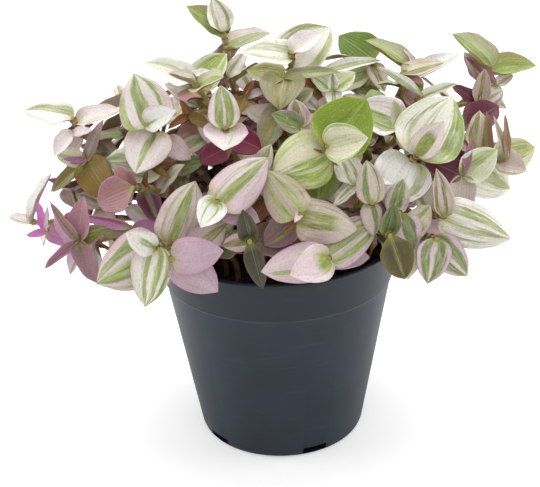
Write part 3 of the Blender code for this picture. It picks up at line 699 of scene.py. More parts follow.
# The stems that the front ones hide, by a rule: arcs of tips round the far side of the mound.
# An arc is its name, how many tips, its first and last azimuth, and the reach and height in mm.
BACK_ARCS = (
    ("back_low", 7, (14, 166), (82, 98)),
    ("back_high", 5, (30, 152), (64, 122)),
    ("crown", 3, (60, 200), (24, 138)),
)
BACK_LEAVES = ((0, 10, .7, 42, .9), (150, 17, .66, 66, .3), (300, 19, .66, 80, .1),
               (95, 18, .66, 90, .1), (235, 16, .66, 98, .2))
BACK_ELEVATIONS = {"back_low": 24, "back_high": 46, "crown": 66}
BACK_COLOURS = ("pale", "lilac", "green", "pale", "purple")
BACK_JITTER = 5.0
BACK_TURN = 4
BACK_FACING = (15, 8)
BACK_GROWTH = (.9, 1.1)
BACK_SEED = 11

# The leaves further down every stem, also by a rule
LOWER_LIMIT = 2
LOWER_TURN = 158.0
LOWER_TURN_JITTER = 22.0
LOWER_LENGTHS = (16.0, 20.0)
LOWER_WIDTH = 0.66
LOWER_OPENINGS = (78.0, 98.0)
LOWER_CUP = 0.2
LOWER_SEED = 23
LIGHT_PULL = 0.3

# What a stem tries when it would touch another: how far its middle is moved sideways and up, in mm
ROUTE_TRIES = ((0, 0), (3, 0), (-3, 0), (0, 4), (6, 0), (-6, 0), (4, 5), (-4, 5), (9, 2), (-9, 2),
               (0, 9), (12, 4), (-12, 4), (0, -4), (5, -4), (-5, -4), (8, 8), (-8, 8), (15, 0),
               (-15, 0), (0, 13), (10, 12), (-10, 12), (18, 6), (-18, 6))

# What a leaf tries: a turn about the tip, a change of opening, a twist, all in degrees, and a size
LEAF_TRIES = ((0, 0, 0, 1), (0, 8, 0, 1), (0, -8, 0, 1), (10, 0, 0, 1), (-10, 0, 0, 1),
              (0, 0, 14, 1), (0, 0, -14, 1), (0, -16, 0, 1), (0, 16, 0, 1), (14, 8, 10, 1),
              (-14, 8, -10, 1), (14, -12, -10, 1), (-14, -12, 10, 1), (0, 0, 0, .9),
              (0, 10, 0, .88), (0, -12, 0, .88), (18, 0, 14, .88), (-18, 0, -14, .88),
              (24, 12, 0, .85), (-24, 12, 0, .85), (24, -14, 0, .85), (-24, -14, 0, .85),
              (0, 0, 0, .75), (0, 14, 0, .72), (0, -16, 0, .72), (22, 0, 16, .72),
              (-22, 0, -16, .72), (0, 0, 0, .6), (30, 10, 0, .6), (-30, 10, 0, .6))

print("stems in the table", len(FRONT_STEMS))

# %% [markdown]
# The pot and the soil are turned shapes, so their outlines are lists of radius and height. They
# serve twice: as obstacles that stems and leaves keep clear of, and as the start of the fine pot.

# %% Outlines of the pot and the soil
def turned(profile, sides):
    """Points and faces of a turned solid: (radius, height) pairs from the axis below to it above."""
    points = []
    rings = []
    for radius, height in profile:
        count = sides if radius > 0 else 1
        rings.append([len(points) + side for side in range(count)])
        for side in range(count):
            angle = 2 * math.pi * side / sides
            points.append(Vector((radius * math.cos(angle), radius * math.sin(angle), height)))
    faces = []
    for low, high in zip(rings, rings[1:]):
        for side in range(sides):
            after = (side + 1) % sides
            corners = [low[side % len(low)], low[after % len(low)]]
            corners += [high[after % len(high)], high[side % len(high)]]
            faces.append(tuple(dict.fromkeys(corners)))
    return points, faces


def outer_radius(height):
    """The pot's outside radius: a taper up to the seam, then the band that stands a step proud."""
    if height <= SEAM_HEIGHT:
        return BASE_RADIUS + (SEAM_RADIUS - BASE_RADIUS) * height / SEAM_HEIGHT
    share = (height - SEAM_HEIGHT) / (POT_HEIGHT - SEAM_HEIGHT)
    start = SEAM_RADIUS + BAND_STEP
    return start + (RIM_RADIUS - LIP - start) * share


def inner_radius(height):
    """The pot's inside radius: one straight taper, a wall in from the outside."""
    return BASE_RADIUS - WALL + (RIM_RADIUS - LIP - BASE_RADIUS) * height / POT_HEIGHT


def pot_profile():
    """The pot's half-outline: under the base, up the outside, over the lip and down the inside."""
    lip_foot = POT_HEIGHT - LIP_HEIGHT
    corner = outer_radius(BASE_CORNER)
    return [
        (0, 0),
        (corner - BASE_CORNER, 0),
        (corner - CORNER_CUT, CORNER_CUT),
        (corner, BASE_CORNER),
        (outer_radius(SEAM_HEIGHT), SEAM_HEIGHT),
        (SEAM_RADIUS + BAND_STEP, SEAM_HEIGHT + BAND_STEP),
        (outer_radius(lip_foot), lip_foot),
        (RIM_RADIUS, lip_foot + LIP),
        (RIM_RADIUS, POT_HEIGHT - LIP),
        (RIM_RADIUS - LIP, POT_HEIGHT),
        (inner_radius(POT_HEIGHT) + 0.2 * LIP, POT_HEIGHT),
        (inner_radius(POT_HEIGHT), POT_HEIGHT - LIP),
        (inner_radius(BASE_CORNER + WALL), BASE_CORNER + WALL),
        (inner_radius(0) - BASE_CORNER, WALL),
        (0, WALL),
    ]


def soil_height(radius):
    """The mean height of the soil's crowned top at a distance from the axis."""
    share = radius / inner_radius(SOIL_TOP)
    return SOIL_TOP + SOIL_CROWN * (1 - share * share)


def soil_profile(rings):
    """The soil's half-outline: its foot, its wall and so many rings over its crown."""
    foot = WALL + GAP
    chamfer = BASE_CORNER + WALL
    edge = inner_radius(SOIL_TOP) - GAP
    profile = [(0, foot), (inner_radius(0) - BASE_CORNER - GAP, foot),
               (inner_radius(chamfer) - GAP, chamfer + GAP), (edge, SOIL_TOP)]
    for ring in range(rings - 1, 0, -1):
        radius = edge * ring / rings
        profile.append((radius, soil_height(radius)))
    return profile + [(0, soil_height(0))]


def soil_body():
    """Points and faces of the soil: it fills the pot and has a low, lumpy crown."""
    points, faces = turned(soil_profile(SOIL_RINGS), SOIL_SIDES)
    draw = random.Random(SOIL_SEED)
    for point in points:
        if point.z > SOIL_TOP + SOIL_LUMP / 2:
            point.z += draw.uniform(-SOIL_LUMP, SOIL_LUMP)
    return points, faces


print("soil top mm", SOIL_TOP / MM)

# %% [markdown]
# A stem rises out of the soil and curves to its tip. Its leaves sit on nodes that lie further
# apart down the stem.

# %% Stems and their nodes
def direction(azimuth, elevation):
    """The unit vector at an azimuth and an elevation in degrees."""
    level = math.cos(math.radians(elevation))
    turn = math.radians(azimuth)
    return Vector((level * math.cos(turn), level * math.sin(turn), math.sin(math.radians(elevation))))


def back_stems():
    """The table rows of the hidden stems, spaced along their arcs with a seeded wander."""
    draw = random.Random(BACK_SEED)

    def wander(most):
        return draw.uniform(-most, most)

    rows = []
    for name, count, (first, last), (reach, height) in BACK_ARCS:
        for number in range(count):
            azimuth = first + (last - first) * number / (count - 1) + wander(BACK_TURN)
            bearing = math.radians(azimuth)
            out = reach + wander(BACK_JITTER)
            tip = (out * math.cos(bearing), out * math.sin(bearing), height + wander(BACK_JITTER))
            turn, tilt = BACK_FACING
            facing = (azimuth + wander(turn), BACK_ELEVATIONS[name] + wander(tilt))
            start = draw.uniform(0, 360)
            leaves = tuple((start + angle, size * draw.uniform(*BACK_GROWTH), width, opening, cup)
                           for angle, size, width, opening, cup in BACK_LEAVES)
            colour = BACK_COLOURS[len(rows) % len(BACK_COLOURS)]
            rows.append((f"{name}_{number + 1}", tip, facing, colour, leaves))
    return rows


def root_places(tips):
    """Where the stems leave the soil: on their tips' bearings, low tips near the rim, kept apart."""
    places = []
    for tip in tips:
        reach = math.hypot(tip.x, tip.y)
        angle = math.atan2(reach, tip.z - SOIL_TOP)
        radius = ROOT_LIMIT * min(1, angle / LOWEST_TIP_ANGLE)
        places.append(Vector((tip.x, tip.y)) * (radius / reach))
    for _ in range(ROOT_PASSES):
        for one in range(len(places)):
            for other in range(one):
                apart = places[one] - places[other]
                short = ROOT_SPACING - apart.length
                if short > 0:
                    push = apart.normalized() * (short / 2)
                    places[one] += push
                    places[other] -= push
        for place in places:
            if place.length > ROOT_LIMIT:
                place *= ROOT_LIMIT / place.length
    return places


def tip_heading(route):
    """The direction in which a route reaches its tip."""
    return (route[-1] - route[-2]).normalized()


def stem_route(root, tip, facing, sideways, upwards):
    """Points along a stem: straight out of its hole, then one smooth curve to its tip."""
    foot = Vector((root.x, root.y, SOIL_TOP - HOLE_DEPTH + GAP))
    start = Vector((root.x, root.y, SOIL_TOP + SOIL_CROWN + FOOT_RISE))
    span = (tip - start).length
    side = Vector((0, 0, 1)).cross(tip - start).normalized()
    shift = side * (sideways * MM) + Vector((0, 0, upwards * MM))
    first = start + Vector((0, 0, RISE_SHARE * span)) + EARLY_SHIFT * shift
    second = tip - facing * (REACH_SHARE * span) + shift
    points = [foot]
    for step in range(STEM_STEPS):
        t = step / (STEM_STEPS - 1)
        u = 1 - t
        points.append(u ** 3 * start + 3 * u * u * t * first + 3 * u * t * t * second + t ** 3 * tip)
    return points


def route_radii(count):
    """The stem's radius at each point of its route, slimmer over the last third."""
    return [STEM_RADIUS + (TIP_RADIUS - STEM_RADIUS) * max(0, number / (count - 1) - SLIM_FROM) * 3
            for number in range(count)]


def tube(route, radii, sides):
    """Points and faces of a closed tube along a route."""
    points = []
    aside = Vector((0, 1, 0))
    for number, centre in enumerate(route):
        before = route[max(number - 1, 0)]
        after = route[min(number + 1, len(route) - 1)]
        ahead = (after - before).normalized()
        aside = (aside - ahead * aside.dot(ahead)).normalized()
        across = ahead.cross(aside)
        for side in range(sides):
            angle = 2 * math.pi * side / sides
            spoke = aside * math.cos(angle) + across * math.sin(angle)
            points.append(centre + spoke * radii[number])
    faces = [tuple(reversed(range(sides))), tuple(range(len(points) - sides, len(points)))]
    for ring in range(len(route) - 1):
        for side in range(sides):
            after = (side + 1) % sides
            low = ring * sides
            faces.append((low + side, low + after, low + sides + after, low + sides + side))
    return points, faces


def place_on(route, distance):
    """The point and direction on a route, at a distance down from its tip; none near the foot."""
    left = distance
    for number in range(len(route) - 1, 1, -1):
        step = route[number] - route[number - 1]
        if left <= step.length:
            return route[number] - step.normalized() * left, step.normalized()
        left -= step.length
    return None


def node_distances(route):
    """The distances from the tip of the stem's leaf nodes, down to its bare foot."""
    total = sum((b - a).length for a, b in zip(route[1:], route[2:]))
    distances = []
    distance = TOP_NODE
    gap = FIRST_INTERNODE
    while distance < total - BARE_FOOT:
        distances.append(distance)
        distance += gap
        gap = min(gap + INTERNODE_GROWTH, LONGEST_INTERNODE)
    return distances


print("highest tip mm", max(row[1][2] for row in FRONT_STEMS))

# %% [markdown]
# A leaf is a blade that curls along its length, folds along its midrib and clasps the stem. A stem
# or a leaf that would touch another tries a fixed list of small changes, and a search tree of
# triangles tells whether two of them meet.

# %% Leaves and their tests
def outline(share):
    """Half the blade's width over its greatest half-width, from its base at 0 to its tip at 1."""
    widest = WIDTH_RISE / (WIDTH_RISE + WIDTH_FALL)
    greatest = widest ** WIDTH_RISE * (1 - widest) ** WIDTH_FALL
    return share ** WIDTH_RISE * (1 - share) ** WIDTH_FALL / greatest


def blade(leaf, stations, grow=0.0):
    """Points and triangles of one blade, thicker and wider all round by what it is grown."""
    side = leaf.normal.cross(leaf.along)
    length = leaf.length + grow
    points = [leaf.base]
    for share in stations + (1.0,):
        turn = leaf.bend * share
        ahead = length * math.sin(turn) / leaf.bend
        drop = length * (1 - math.cos(turn)) / leaf.bend
        middle = leaf.base + leaf.along * ahead - leaf.normal * drop
        up = leaf.normal * math.cos(turn) + leaf.along * math.sin(turn)
        if share == 1.0:
            points.append(middle)
            continue
        fold = leaf.cup + CLASP * max(0, 1 - share / CLASP_END)
        half = leaf.width / 2 * outline(share) + grow
        out = side * (half * math.cos(fold))
        rise = up * (half * math.sin(fold))
        skin = up * ((LEAF_THICKNESS / 2 + grow) / math.cos(min(abs(fold), STEEPEST_FOLD)))
        points += [middle + out + rise, middle + skin, middle - out + rise, middle - skin]
    faces = [(2, 1, 0), (3, 2, 0), (4, 3, 0), (1, 4, 0)]
    last = 4 * len(stations) - 3
    for a in range(1, last, 4):
        b = a + 4
        faces += [(a, a + 1, b + 1), (a, b + 1, b), (a + 1, a + 2, b + 1), (a + 2, b + 2, b + 1)]
        faces += [(a + 2, a + 3, b + 3), (a + 2, b + 3, b + 2), (a + 3, a, b + 3), (a, b, b + 3)]
    tip = last + 4
    faces += [(last, last + 1, tip), (last + 1, last + 2, tip)]
    faces += [(last + 2, last + 3, tip), (last + 3, last, tip)]
    return points, faces


def outer_half(leaf):
    """The same for the part of a blade past its clasping base, which no other blade may cross."""
    points, faces = blade(leaf, (OUTER_STATION,) + FRONT_STATIONS[1:])
    points[0] = (points[2] + points[4]) / 2
    return points, faces


def posed_leaf(base, axis, facing, row, change, light):
    """A leaf from its table row and one try's change, on a node whose stem runs along an axis."""
    angle, size, width, opening, cup = row
    turn, wider, twist, scale = change
    right = Vector((0, 0, 1)).cross(facing).normalized()
    up = facing.cross(right)
    clock = math.radians(angle + turn)
    spoke = right * math.cos(clock) + up * math.sin(clock)
    spoke = (spoke - axis * spoke.dot(axis)).normalized()
    open_angle = math.radians(opening + wider)
    along = axis * math.cos(open_angle) + spoke * math.sin(open_angle)
    normal = axis - along * axis.dot(along)
    normal = normal.normalized() + light * (LIGHTWARD - along * LIGHTWARD.dot(along))
    normal = Matrix.Rotation(math.radians(twist), 3, along) @ normal.normalized()
    bend = BEND_PER_DEGREE * (opening - FLAT_OPENING)
    bend = max(-MOST_BEND, min(MOST_BEND, bend)) or LEAST_BEND
    length = size * scale * MM
    return Leaf(base, along, normal, length, width * length, bend, cup)


def tree_of(points, faces):
    """A search tree of a solid's faces, with the centre and radius of a ball round it."""
    centre = sum(points, Vector()) / len(points)
    reach = max((point - centre).length for point in points)
    return BVHTree.FromPolygons([tuple(point) for point in points], faces), centre, reach


def touches(solid, others):
    """Whether a solid meets any of the others."""
    tree, centre, reach = solid
    for other, middle, radius in others:
        if (centre - middle).length < reach + radius and tree.overlap(other):
            return True
    return False


def lay_routes(rows, fixed):
    """A route for each row's stem, clear of the pot and of each other."""
    tips = [Vector(row[1]) * MM for row in rows]
    roots = root_places(tips)
    routes = []
    tubes = []
    for row, tip, root in zip(rows, tips, roots):
        facing = direction(*row[2])
        for sideways, upwards in ROUTE_TRIES:
            route = stem_route(root, tip, facing, sideways, upwards)
            radii = [radius + STEM_CLEARANCE for radius in route_radii(len(route) - 1)]
            test = tree_of(*tube(route[1:], radii, STEM_SIDES))
            if not touches(test, fixed + tubes):
                break
        else:
            print("no clear route for", row[0])
            route = None
        if route:
            tubes.append(tree_of(*tube(route[1:], route_radii(len(route) - 1), STEM_SIDES)))
        routes.append(route)
    return routes, tubes


def add_leaf(owner, number, row, routes, facing, light, solids, fixed):
    """The first of a leaf's tries that is clear of everything; it is added to the solids."""
    spot = place_on(routes[owner], node_distances(routes[owner])[number])
    others = fixed["still"] + fixed["tubes"][:owner] + fixed["tubes"][owner + 1:]
    others += [solid for name, solid, _ in solids if name != owner]
    own = [outer for name, _, outer in solids if name == owner]
    for change in LEAF_TRIES:
        axis = spot[1] if light else facing
        leaf = posed_leaf(spot[0], axis, facing, row, change, light)
        grown = tree_of(*blade(leaf, FRONT_STATIONS, LEAF_CLEARANCE))
        if touches(grown, others):
            continue
        outer = tree_of(*outer_half(leaf))
        if touches(outer, own):
            continue
        solids.append((owner, tree_of(*blade(leaf, FRONT_STATIONS)), outer))
        return leaf
    return None


def lay_stems():
    """Every stem with its route and its leaves."""
    rows = list(FRONT_STEMS) + back_stems()
    still = [tree_of(*turned(pot_profile(), POT_SIDES)), tree_of(*soil_body())]
    routes, tubes = lay_routes(rows, [still[0]])
    rows = [row for row, route in zip(rows, routes) if route]
    routes = [route for route in routes if route]
    fixed = {"still": still, "tubes": tubes}
    solids = []
    leaves = [[] for _ in rows]
    missing = 0
    for owner, row in enumerate(rows):
        nodes = len(node_distances(routes[owner]))
        for number, leaf_row in enumerate(row[4][:nodes]):
            leaf = add_leaf(owner, number, leaf_row, routes, direction(*row[2]), 0, solids, fixed)
            missing += leaf is None
            leaves[owner].append(leaf)
    draw = random.Random(LOWER_SEED)
    for owner, row in enumerate(rows):
        nodes = len(node_distances(routes[owner]))
        angle = row[4][-1][0]
        for number in range(len(row[4]), min(nodes, len(row[4]) + LOWER_LIMIT)):
            angle += LOWER_TURN + draw.uniform(-LOWER_TURN_JITTER, LOWER_TURN_JITTER)
            leaf_row = (angle, draw.uniform(*LOWER_LENGTHS), LOWER_WIDTH,
                        draw.uniform(*LOWER_OPENINGS), LOWER_CUP)
            facing = direction(*row[2])
            leaf = add_leaf(owner, number, leaf_row, routes, facing, LIGHT_PULL, solids, fixed)
            leaves[owner].append(leaf)
    print("stems", len(rows), "leaves", len(solids), "leaves of the table left out", missing)
    stems = [Stem(row[0], *grown, row[3]) for row, *grown in zip(rows, routes, leaves)]
    return stems, solids, fixed


STEMS, SOLIDS, FIXED = lay_stems()

# %% [markdown]
# The solids hold only as many leaves as a light part can carry. A real mound is thicker inside:
# the lower joints keep their leaves, and small shoots grow from them towards the light. Those
# extra leaves follow the same tests, so that they fill gaps and cross nothing.

# %% More leaves inside the mound
EXTRA_SEED = 31
SHELTER_RADIUS = 23.0 * MM

# Leaves on the lower joints, and the first joint from the tip that may carry one or a shoot
EXTRA_LENGTHS = (12.0, 18.0)
EXTRA_CUP = .3
EXTRA_FROM = 3

# Side shoots, with a pull towards the light
SHOOT_LEAVES = ((20, 9, .72, 55, .6), (150, 13, .7, 76, .3), (270, 14, .7, 84, .2),
                (60, 12, .7, 92, .3))
SHOOT_REACH = (5.0, 13.0)
SHOOT_PULL = 0.75
SHOOT_AIM = Vector((0, -0.3, 0.9))
SHOOT_TILTS = (-10, 60)
SHOOT_TURN = 25
SHOOT_GROWTH = (.8, 1.25)
SHOOT_LIGHT = 0.1
SHOOT_LEAVING = 0.35
SHOOT_CURVE = 1.3
SHOOT_STEPS = 4
SHOOTS_PER_STEM = 6
SHOOT_DEPTH = 5.0 * MM
LEAF_DEPTH = 1.0 * MM

# Dried scraps, on the joints below the first two
SCRAPS_FROM = 2
SCRAP_SHARE = 0.5
SCRAP_LENGTHS = (4.0, 7.5)
SCRAP_WIDTHS = (.25, .5)
SCRAP_OPENINGS = (50, 120)
SCRAP_CUPS = (.6, 1.2)
SCRAP_TWIST = 50
SCRAP_PAINTS = ("rust rust rust ochre", "ochre rust rust rust", "dusk rust rust ochre")

# Sprigs that the photograph shows, as rows like those of the stems: tip in mm, the way it faces,
# its leaves, and the looks of these. Each grows from the joint nearest to a spot behind its tip.
SPRIG_DROP = 12.0 * MM
SPRIGS = (
    ((-65.4, -12, 114), (-120, 20),
     ((315, 16.5, .92, 84, .2), (226, 19, .34, 78, .5), (177, 14, .56, 76, .4), (62, 18, .32, 68, .4),
      (186, 9, .30, 56, .5)),
     (("ochre ochre ochre rust", .1), ("olive moss dusk rose", .3, (.3, .4)),
      ("mist grey dusk rose", .4, (.2, .3)), ("mauve grey dusk rose", .3, (.2, .3)),
      ("orchid rose magenta orchid", .1))),
    ((-69.3, -12, 124), (-116, 34),
     ((242, 10.5, .80, 76, .6), (14, 8, .5, 76, .4)),
     (("blush lilac pink lilac", .2), ("blush lilac pink rose", .2))),
    ((-79.6, -25, 93), (-120, 22),
     ((117, 11, .42, 74, .3), (200, 9.5, .32, 78, .3), (80, 10, .25, 62, .5), (350, 13, .5, 84, .3)),
     (("fuchsia fuchsia magenta fuchsia", .1), ("fuchsia fuchsia magenta fuchsia", .1),
      ("lilac lilac orchid orchid", .1), ("orchid rose magenta orchid", .1))),
    ((-65.5, -43, 97.4), (-110, 20),
     ((294, 16, .52, 88, .3), (120, 17, .28, 56, .6), (86, 15, .62, 76, .4), (222, 17, .32, 80, .9),
      (30, 11, .6, 84, .3)),
     (("mauve dusk plum orchid", .2, (0, .5, .3)), ("orchid olive magenta orchid", .2, (0, .5)),
      ("rose clay plum orchid", .2), ("orchid olive plum orchid", .2, (0, .3)),
      ("olive deep dusk orchid", .3, (0, .4)))),
    ((-49, -38, 99.4), (-112, 20),
     ((176, 20, .20, 80, .3), (194, 15, .42, 90, .2)),
     (("orchid magenta magenta orchid", .2, (-.5, .3)), ("olive deep dusk orchid", .3, (0, .5)))),
    ((62, -32, 112), (-80, 26),
     ((30, 15, .80, 74, .4), (150, 14, .66, 84, .3), (262, 16, .66, 86, .3), (72, 13, .30, 66, .5)),
     (("mist sage dusk white", .3, (.2, .4)), ("wine dark magenta magenta", .1),
      ("dusty dusty bark rose", .3), ("rose plum magenta orchid", .1))),
    ((80, -18, 112), (-82, 36),
     ((92, 16, .20, 62, .5), (106, 16, .20, 66, .5)),
     (("clay moss dusk rose", .2, (0, .3)), ("dusty moss dusk rose", .3, (0, .3)))),
    ((70.5, -6, 111.5), (-84, 34),
     ((76, 14, .74, 70, .3), (140, 11, .60, 80, .3)),
     (("beige olive bark rose", .4, (.3, .4)), ("dusty olive bark rose", .4, (0, .3)))),
    ((81.2, 18, 127.1), (-82, 44),
     ((128, 15, .38, 74, .5), (28, 10, .50, 74, .4), (258, 11, .60, 78, .4)),
     (("clay plum magenta orchid", .2, (0, .3)), ("dusty grey bark rose", .3, (0, .3)),
      ("beige grey dusk rose", .3, (.2, .3)))),
    ((74.2, 10, 123.0), (-82, 40),
     ((74, 13, .60, 66, .5), (140, 12, .50, 76, .4), (4, 13, .46, 80, .3)),
     (("taupe olive dusk rose", .3, (0, .3)), ("wine dark magenta magenta", .1),
      ("dusty grey dusk rose", .3, (0, .3)))),
    ((45, 0, 138.2), (-86, 54),
     ((12, 16, .46, 78, .3), (330, 9, .5, 84, .3)),
     (("beige olive dusk orchid", .3, (-.4, .4)), ("clay olive bark rose", .3))),
    ((18, 2, 138.8), (-88, 50),
     ((10, 21, .30, 78, .6), (200, 9, .5, 84, .3)),
     (("cream sage lit white", .4, (0, .4)), ("clay sage dusk rose", .3))),
    ((20.7, -8, 135.6), (-88, 50),
     ((142, 10, .80, 72, .3), (35, 10, .80, 72, .3), (92, 6, .7, 50, .4), (270, 9, .7, 84, .3)),
     (("mist leaf lit white", .4, (.3, .3)), ("mist leaf lit white", .4, (-.3, .3)),
      ("cream leaf lit white", .3, (0, .4)), ("cream sage lit white", .3, (0, .3)))),
    ((15, -10, 129.2), (-90, 40),
     ((138, 11, .46, 72, .4), (40, 9, .5, 84, .3)),
     (("blush leaf dusk orchid", .3, (-.1, .3)), ("dusty grey dusk orchid", .3))),
    ((3.9, -6, 139.4), (-94, 52),
     ((2, 20, .30, 80, .5), (266, 15, 1.1, 84, .3), (162, 14, .70, 82, .2)),
     (("grey sage dusk rose", .4, (0, .5)), ("grey olive bark clay", .4, (0, .5)),
      ("moss olive bark cream", .4, (-.3, .4)))),
    ((8.7, -22, 127), (-90, 40),
     ((100, 10, .90, 66, .3), (158, 11, .75, 76, .3), (20, 10, .7, 80, .3)),
     (("dusty olive dusk orchid", .6, (0, .5)), ("grey deep dusk orchid", .4, (0, .5)),
      ("dusty deep dusk rose", .3))),
    ((-15.5, 10, 135.5), (-90, 50),
     ((58, 12, .55, 74, .4), (186, 10, .6, 84, .3)),
     (("blush sage dusk rose", .4, (.3, .3)), ("clay olive bark rose", .3))),
    ((-28.6, -14, 129.5), (-96, 44),
     ((125, 7, .60, 66, .9), (215, 9, .5, 76, .8), (330, 9, .6, 84, .6)),
     (("rust ochre bark rust", .3), ("rust ochre bark rust", .2), ("ochre olive bark rust", .3))),
    ((-41.4, -28, 117.2), (-100, 30),
     ((14, 9, .42, 76, .8), (330, 8, .5, 80, .8)),
     (("rust ochre bark rust", .3), ("ochre rust bark rust", .3))),
    ((-9.7, -10, 134.3), (-90, 44),
     ((60, 7, .60, 66, .8), (250, 8, .6, 76, .6), (20, 8, .5, 84, .5)),
     (("rust ochre bark rust", .3), ("ochre rust bark rust", .3), ("dusty olive bark rose", .3))),
    ((14.3, -4, 134.5), (-90, 44),
     ((120, 7, .60, 66, .8), (300, 7, .5, 80, .6)),
     (("rust ochre bark rust", .3), ("ochre rust bark rust", .3))),
)

Shoot = namedtuple("Shoot", "line leaves looks")


def sheltered(point, depth):
    """Whether a point lies inside the mound, so far behind every stem's tip that is near it."""
    for stem in STEMS:
        away = point - stem.route[-1]
        facing = tip_heading(stem.route)
        ahead = away.dot(facing)
        if (away - facing * ahead).length < SHELTER_RADIUS and ahead > -depth:
            return False
    return True


def lower_leaves(owner, stem, draw):
    """Leaves on the joints that the solids leave bare."""
    distances = node_distances(stem.route)
    heading = tip_heading(stem.route)
    angle = draw.uniform(0, 360)
    added = []
    for number in range(len(distances)):
        angle += LOWER_TURN + draw.uniform(-LOWER_TURN_JITTER, LOWER_TURN_JITTER)
        row = (angle, draw.uniform(*EXTRA_LENGTHS), LOWER_WIDTH, draw.uniform(*LOWER_OPENINGS),
               EXTRA_CUP)
        if number < EXTRA_FROM or (number < len(stem.leaves) and stem.leaves[number]):
            continue
        leaf = add_leaf(owner, number, row, ROUTES, heading, LIGHT_PULL, SOLIDS, FIXED)
        if leaf and sheltered(leaf.base + leaf.along * leaf.length, 0):
            added.append(leaf)
    return added


def dried_scraps(owner, stem, draw):
    """Small curled rags of old leaves, orange brown, on the lower joints."""
    heading = tip_heading(stem.route)
    others = FIXED["still"] + [solid for name, solid, _ in SOLIDS if name != owner]
    added = []
    for distance in node_distances(stem.route)[SCRAPS_FROM:]:
        base, axis = place_on(stem.route, distance)
        row = (draw.uniform(0, 360), draw.uniform(*SCRAP_LENGTHS), draw.uniform(*SCRAP_WIDTHS),
               draw.uniform(*SCRAP_OPENINGS), draw.uniform(*SCRAP_CUPS))
        look = drawn_look(draw.choice(SCRAP_PAINTS), draw)
        change = (0, 0, draw.uniform(-SCRAP_TWIST, SCRAP_TWIST), 1)
        leaf = posed_leaf(base, axis, heading, row, change, 0)
        if draw.random() < SCRAP_SHARE and not touches(tree_of(*blade(leaf, SCRAP_STATIONS)), others):
            added.append((leaf, look))
    return added


def shoot_line(base, axis, tip):
    """The stalk of a shoot: it leaves along its stem, then curves to its own tip."""
    start = base + axis * (SHOOT_LEAVING * (tip - base).length)
    shares = [step / SHOOT_STEPS for step in range(SHOOT_STEPS + 1)]
    return [base.lerp(start, share).lerp(tip, share ** SHOOT_CURVE) for share in shares]


def shoot_leaves(tip, heading, rows, light, depth):
    """The leaves of a shoot that are clear of everything and, with a depth, inside the mound."""
    others = FIXED["still"] + FIXED["tubes"] + [solid for _, solid, _ in SOLIDS]
    leaves = []
    for row in rows:
        chosen = None
        for change in LEAF_TRIES:
            leaf = posed_leaf(tip, heading, heading, row, change, light)
            end = leaf.base + leaf.along * leaf.length
            if depth is not None and not sheltered(end, depth):
                continue
            if not touches(tree_of(*blade(leaf, FRONT_STATIONS, LEAF_CLEARANCE)), others):
                chosen = leaf
                break
        leaves.append(chosen)
    for leaf in leaves:
        if leaf:
            SOLIDS.append((-1, tree_of(*blade(leaf, FRONT_STATIONS)), tree_of(*outer_half(leaf))))
    return leaves


def side_shoot(owner, stem, distance, draw):
    """A short shoot from a joint: a curved line towards the light, and its own few leaves."""
    base, axis = place_on(stem.route, distance)
    outward = Vector((base.x, base.y, 0)).normalized()
    turn = direction(draw.uniform(0, 360), draw.uniform(*SHOOT_TILTS))
    heading = (turn + SHOOT_PULL * (outward + SHOOT_AIM)).normalized()
    reach = draw.uniform(*SHOOT_REACH) * MM
    line = shoot_line(base, axis, base + axis * (SHOOT_LEAVING * reach) + heading * reach)
    body = tree_of(*tube(line[1:], [TIP_RADIUS] * SHOOT_STEPS, STEM_SIDES))
    rows = [(angle + draw.uniform(-SHOOT_TURN, SHOOT_TURN),
             size * draw.uniform(*SHOOT_GROWTH), *rest) for angle, size, *rest in SHOOT_LEAVES]
    if not sheltered(line[-1], SHOOT_DEPTH):
        return None
    if touches(body, FIXED["still"] + [solid for name, solid, _ in SOLIDS if name != owner]):
        return None
    leaves = shoot_leaves(line[-1], heading, rows, SHOOT_LIGHT, LEAF_DEPTH)
    paints = draw.choice(HABITS[stem.colour])
    looks = [drawn_look(paints, draw) for _ in leaves]
    return Shoot(line, leaves, looks) if any(leaves) else None


def placed_sprig(row):
    """A sprig from its row, with the stem it grows from."""
    spot, facing, leaf_rows, looks = row
    tip = Vector(spot) * MM
    heading = direction(*facing)
    joints = [(stem, *place_on(stem.route, distance)) for stem in STEMS
              for distance in node_distances(stem.route)[SCRAPS_FROM:]]
    behind = tip - heading * SPRIG_DROP
    stem, base, axis = min(joints, key=lambda joint: (joint[1] - behind).length)
    leaves = shoot_leaves(tip, heading, leaf_rows, 0.0, None)
    return stem.name, Shoot(shoot_line(base, axis, tip), leaves, [table_look(look) for look in looks])


def fill_mound():
    """The extra leaves and shoots of every stem."""
    draw = random.Random(EXTRA_SEED)
    extra = {stem.name: ([], []) for stem in STEMS}
    for row in SPRIGS:
        name, sprig = placed_sprig(row)
        extra[name][1].append(sprig)
        print("sprig on", name, "leaves", sum(leaf is not None for leaf in sprig.leaves))
    for owner, stem in enumerate(STEMS):
        added, shoots = extra[stem.name]
        for leaf in lower_leaves(owner, stem, draw):
            added.append((leaf, drawn_look(draw.choice(OLD_HABITS), draw)))
        added += dried_scraps(owner, stem, draw)
        distances = node_distances(stem.route)[EXTRA_FROM:]
        draw.shuffle(distances)
        grown = [side_shoot(owner, stem, distance, draw) for distance in distances[:SHOOTS_PER_STEM]]
        shoots += [shoot for shoot in grown if shoot]
    return extra


# %% [markdown]
# What each leaf wears. A look is four paints, for the pale ground, the green, the lower face and
# the rim, then how streaky the leaf is, then up to three stripes. A stripe is its place across
# the leaf (0 on the midrib, 1 on the edge, to the left as seen with the point up), its half-width
# and, if it stops short, how far along it ends.

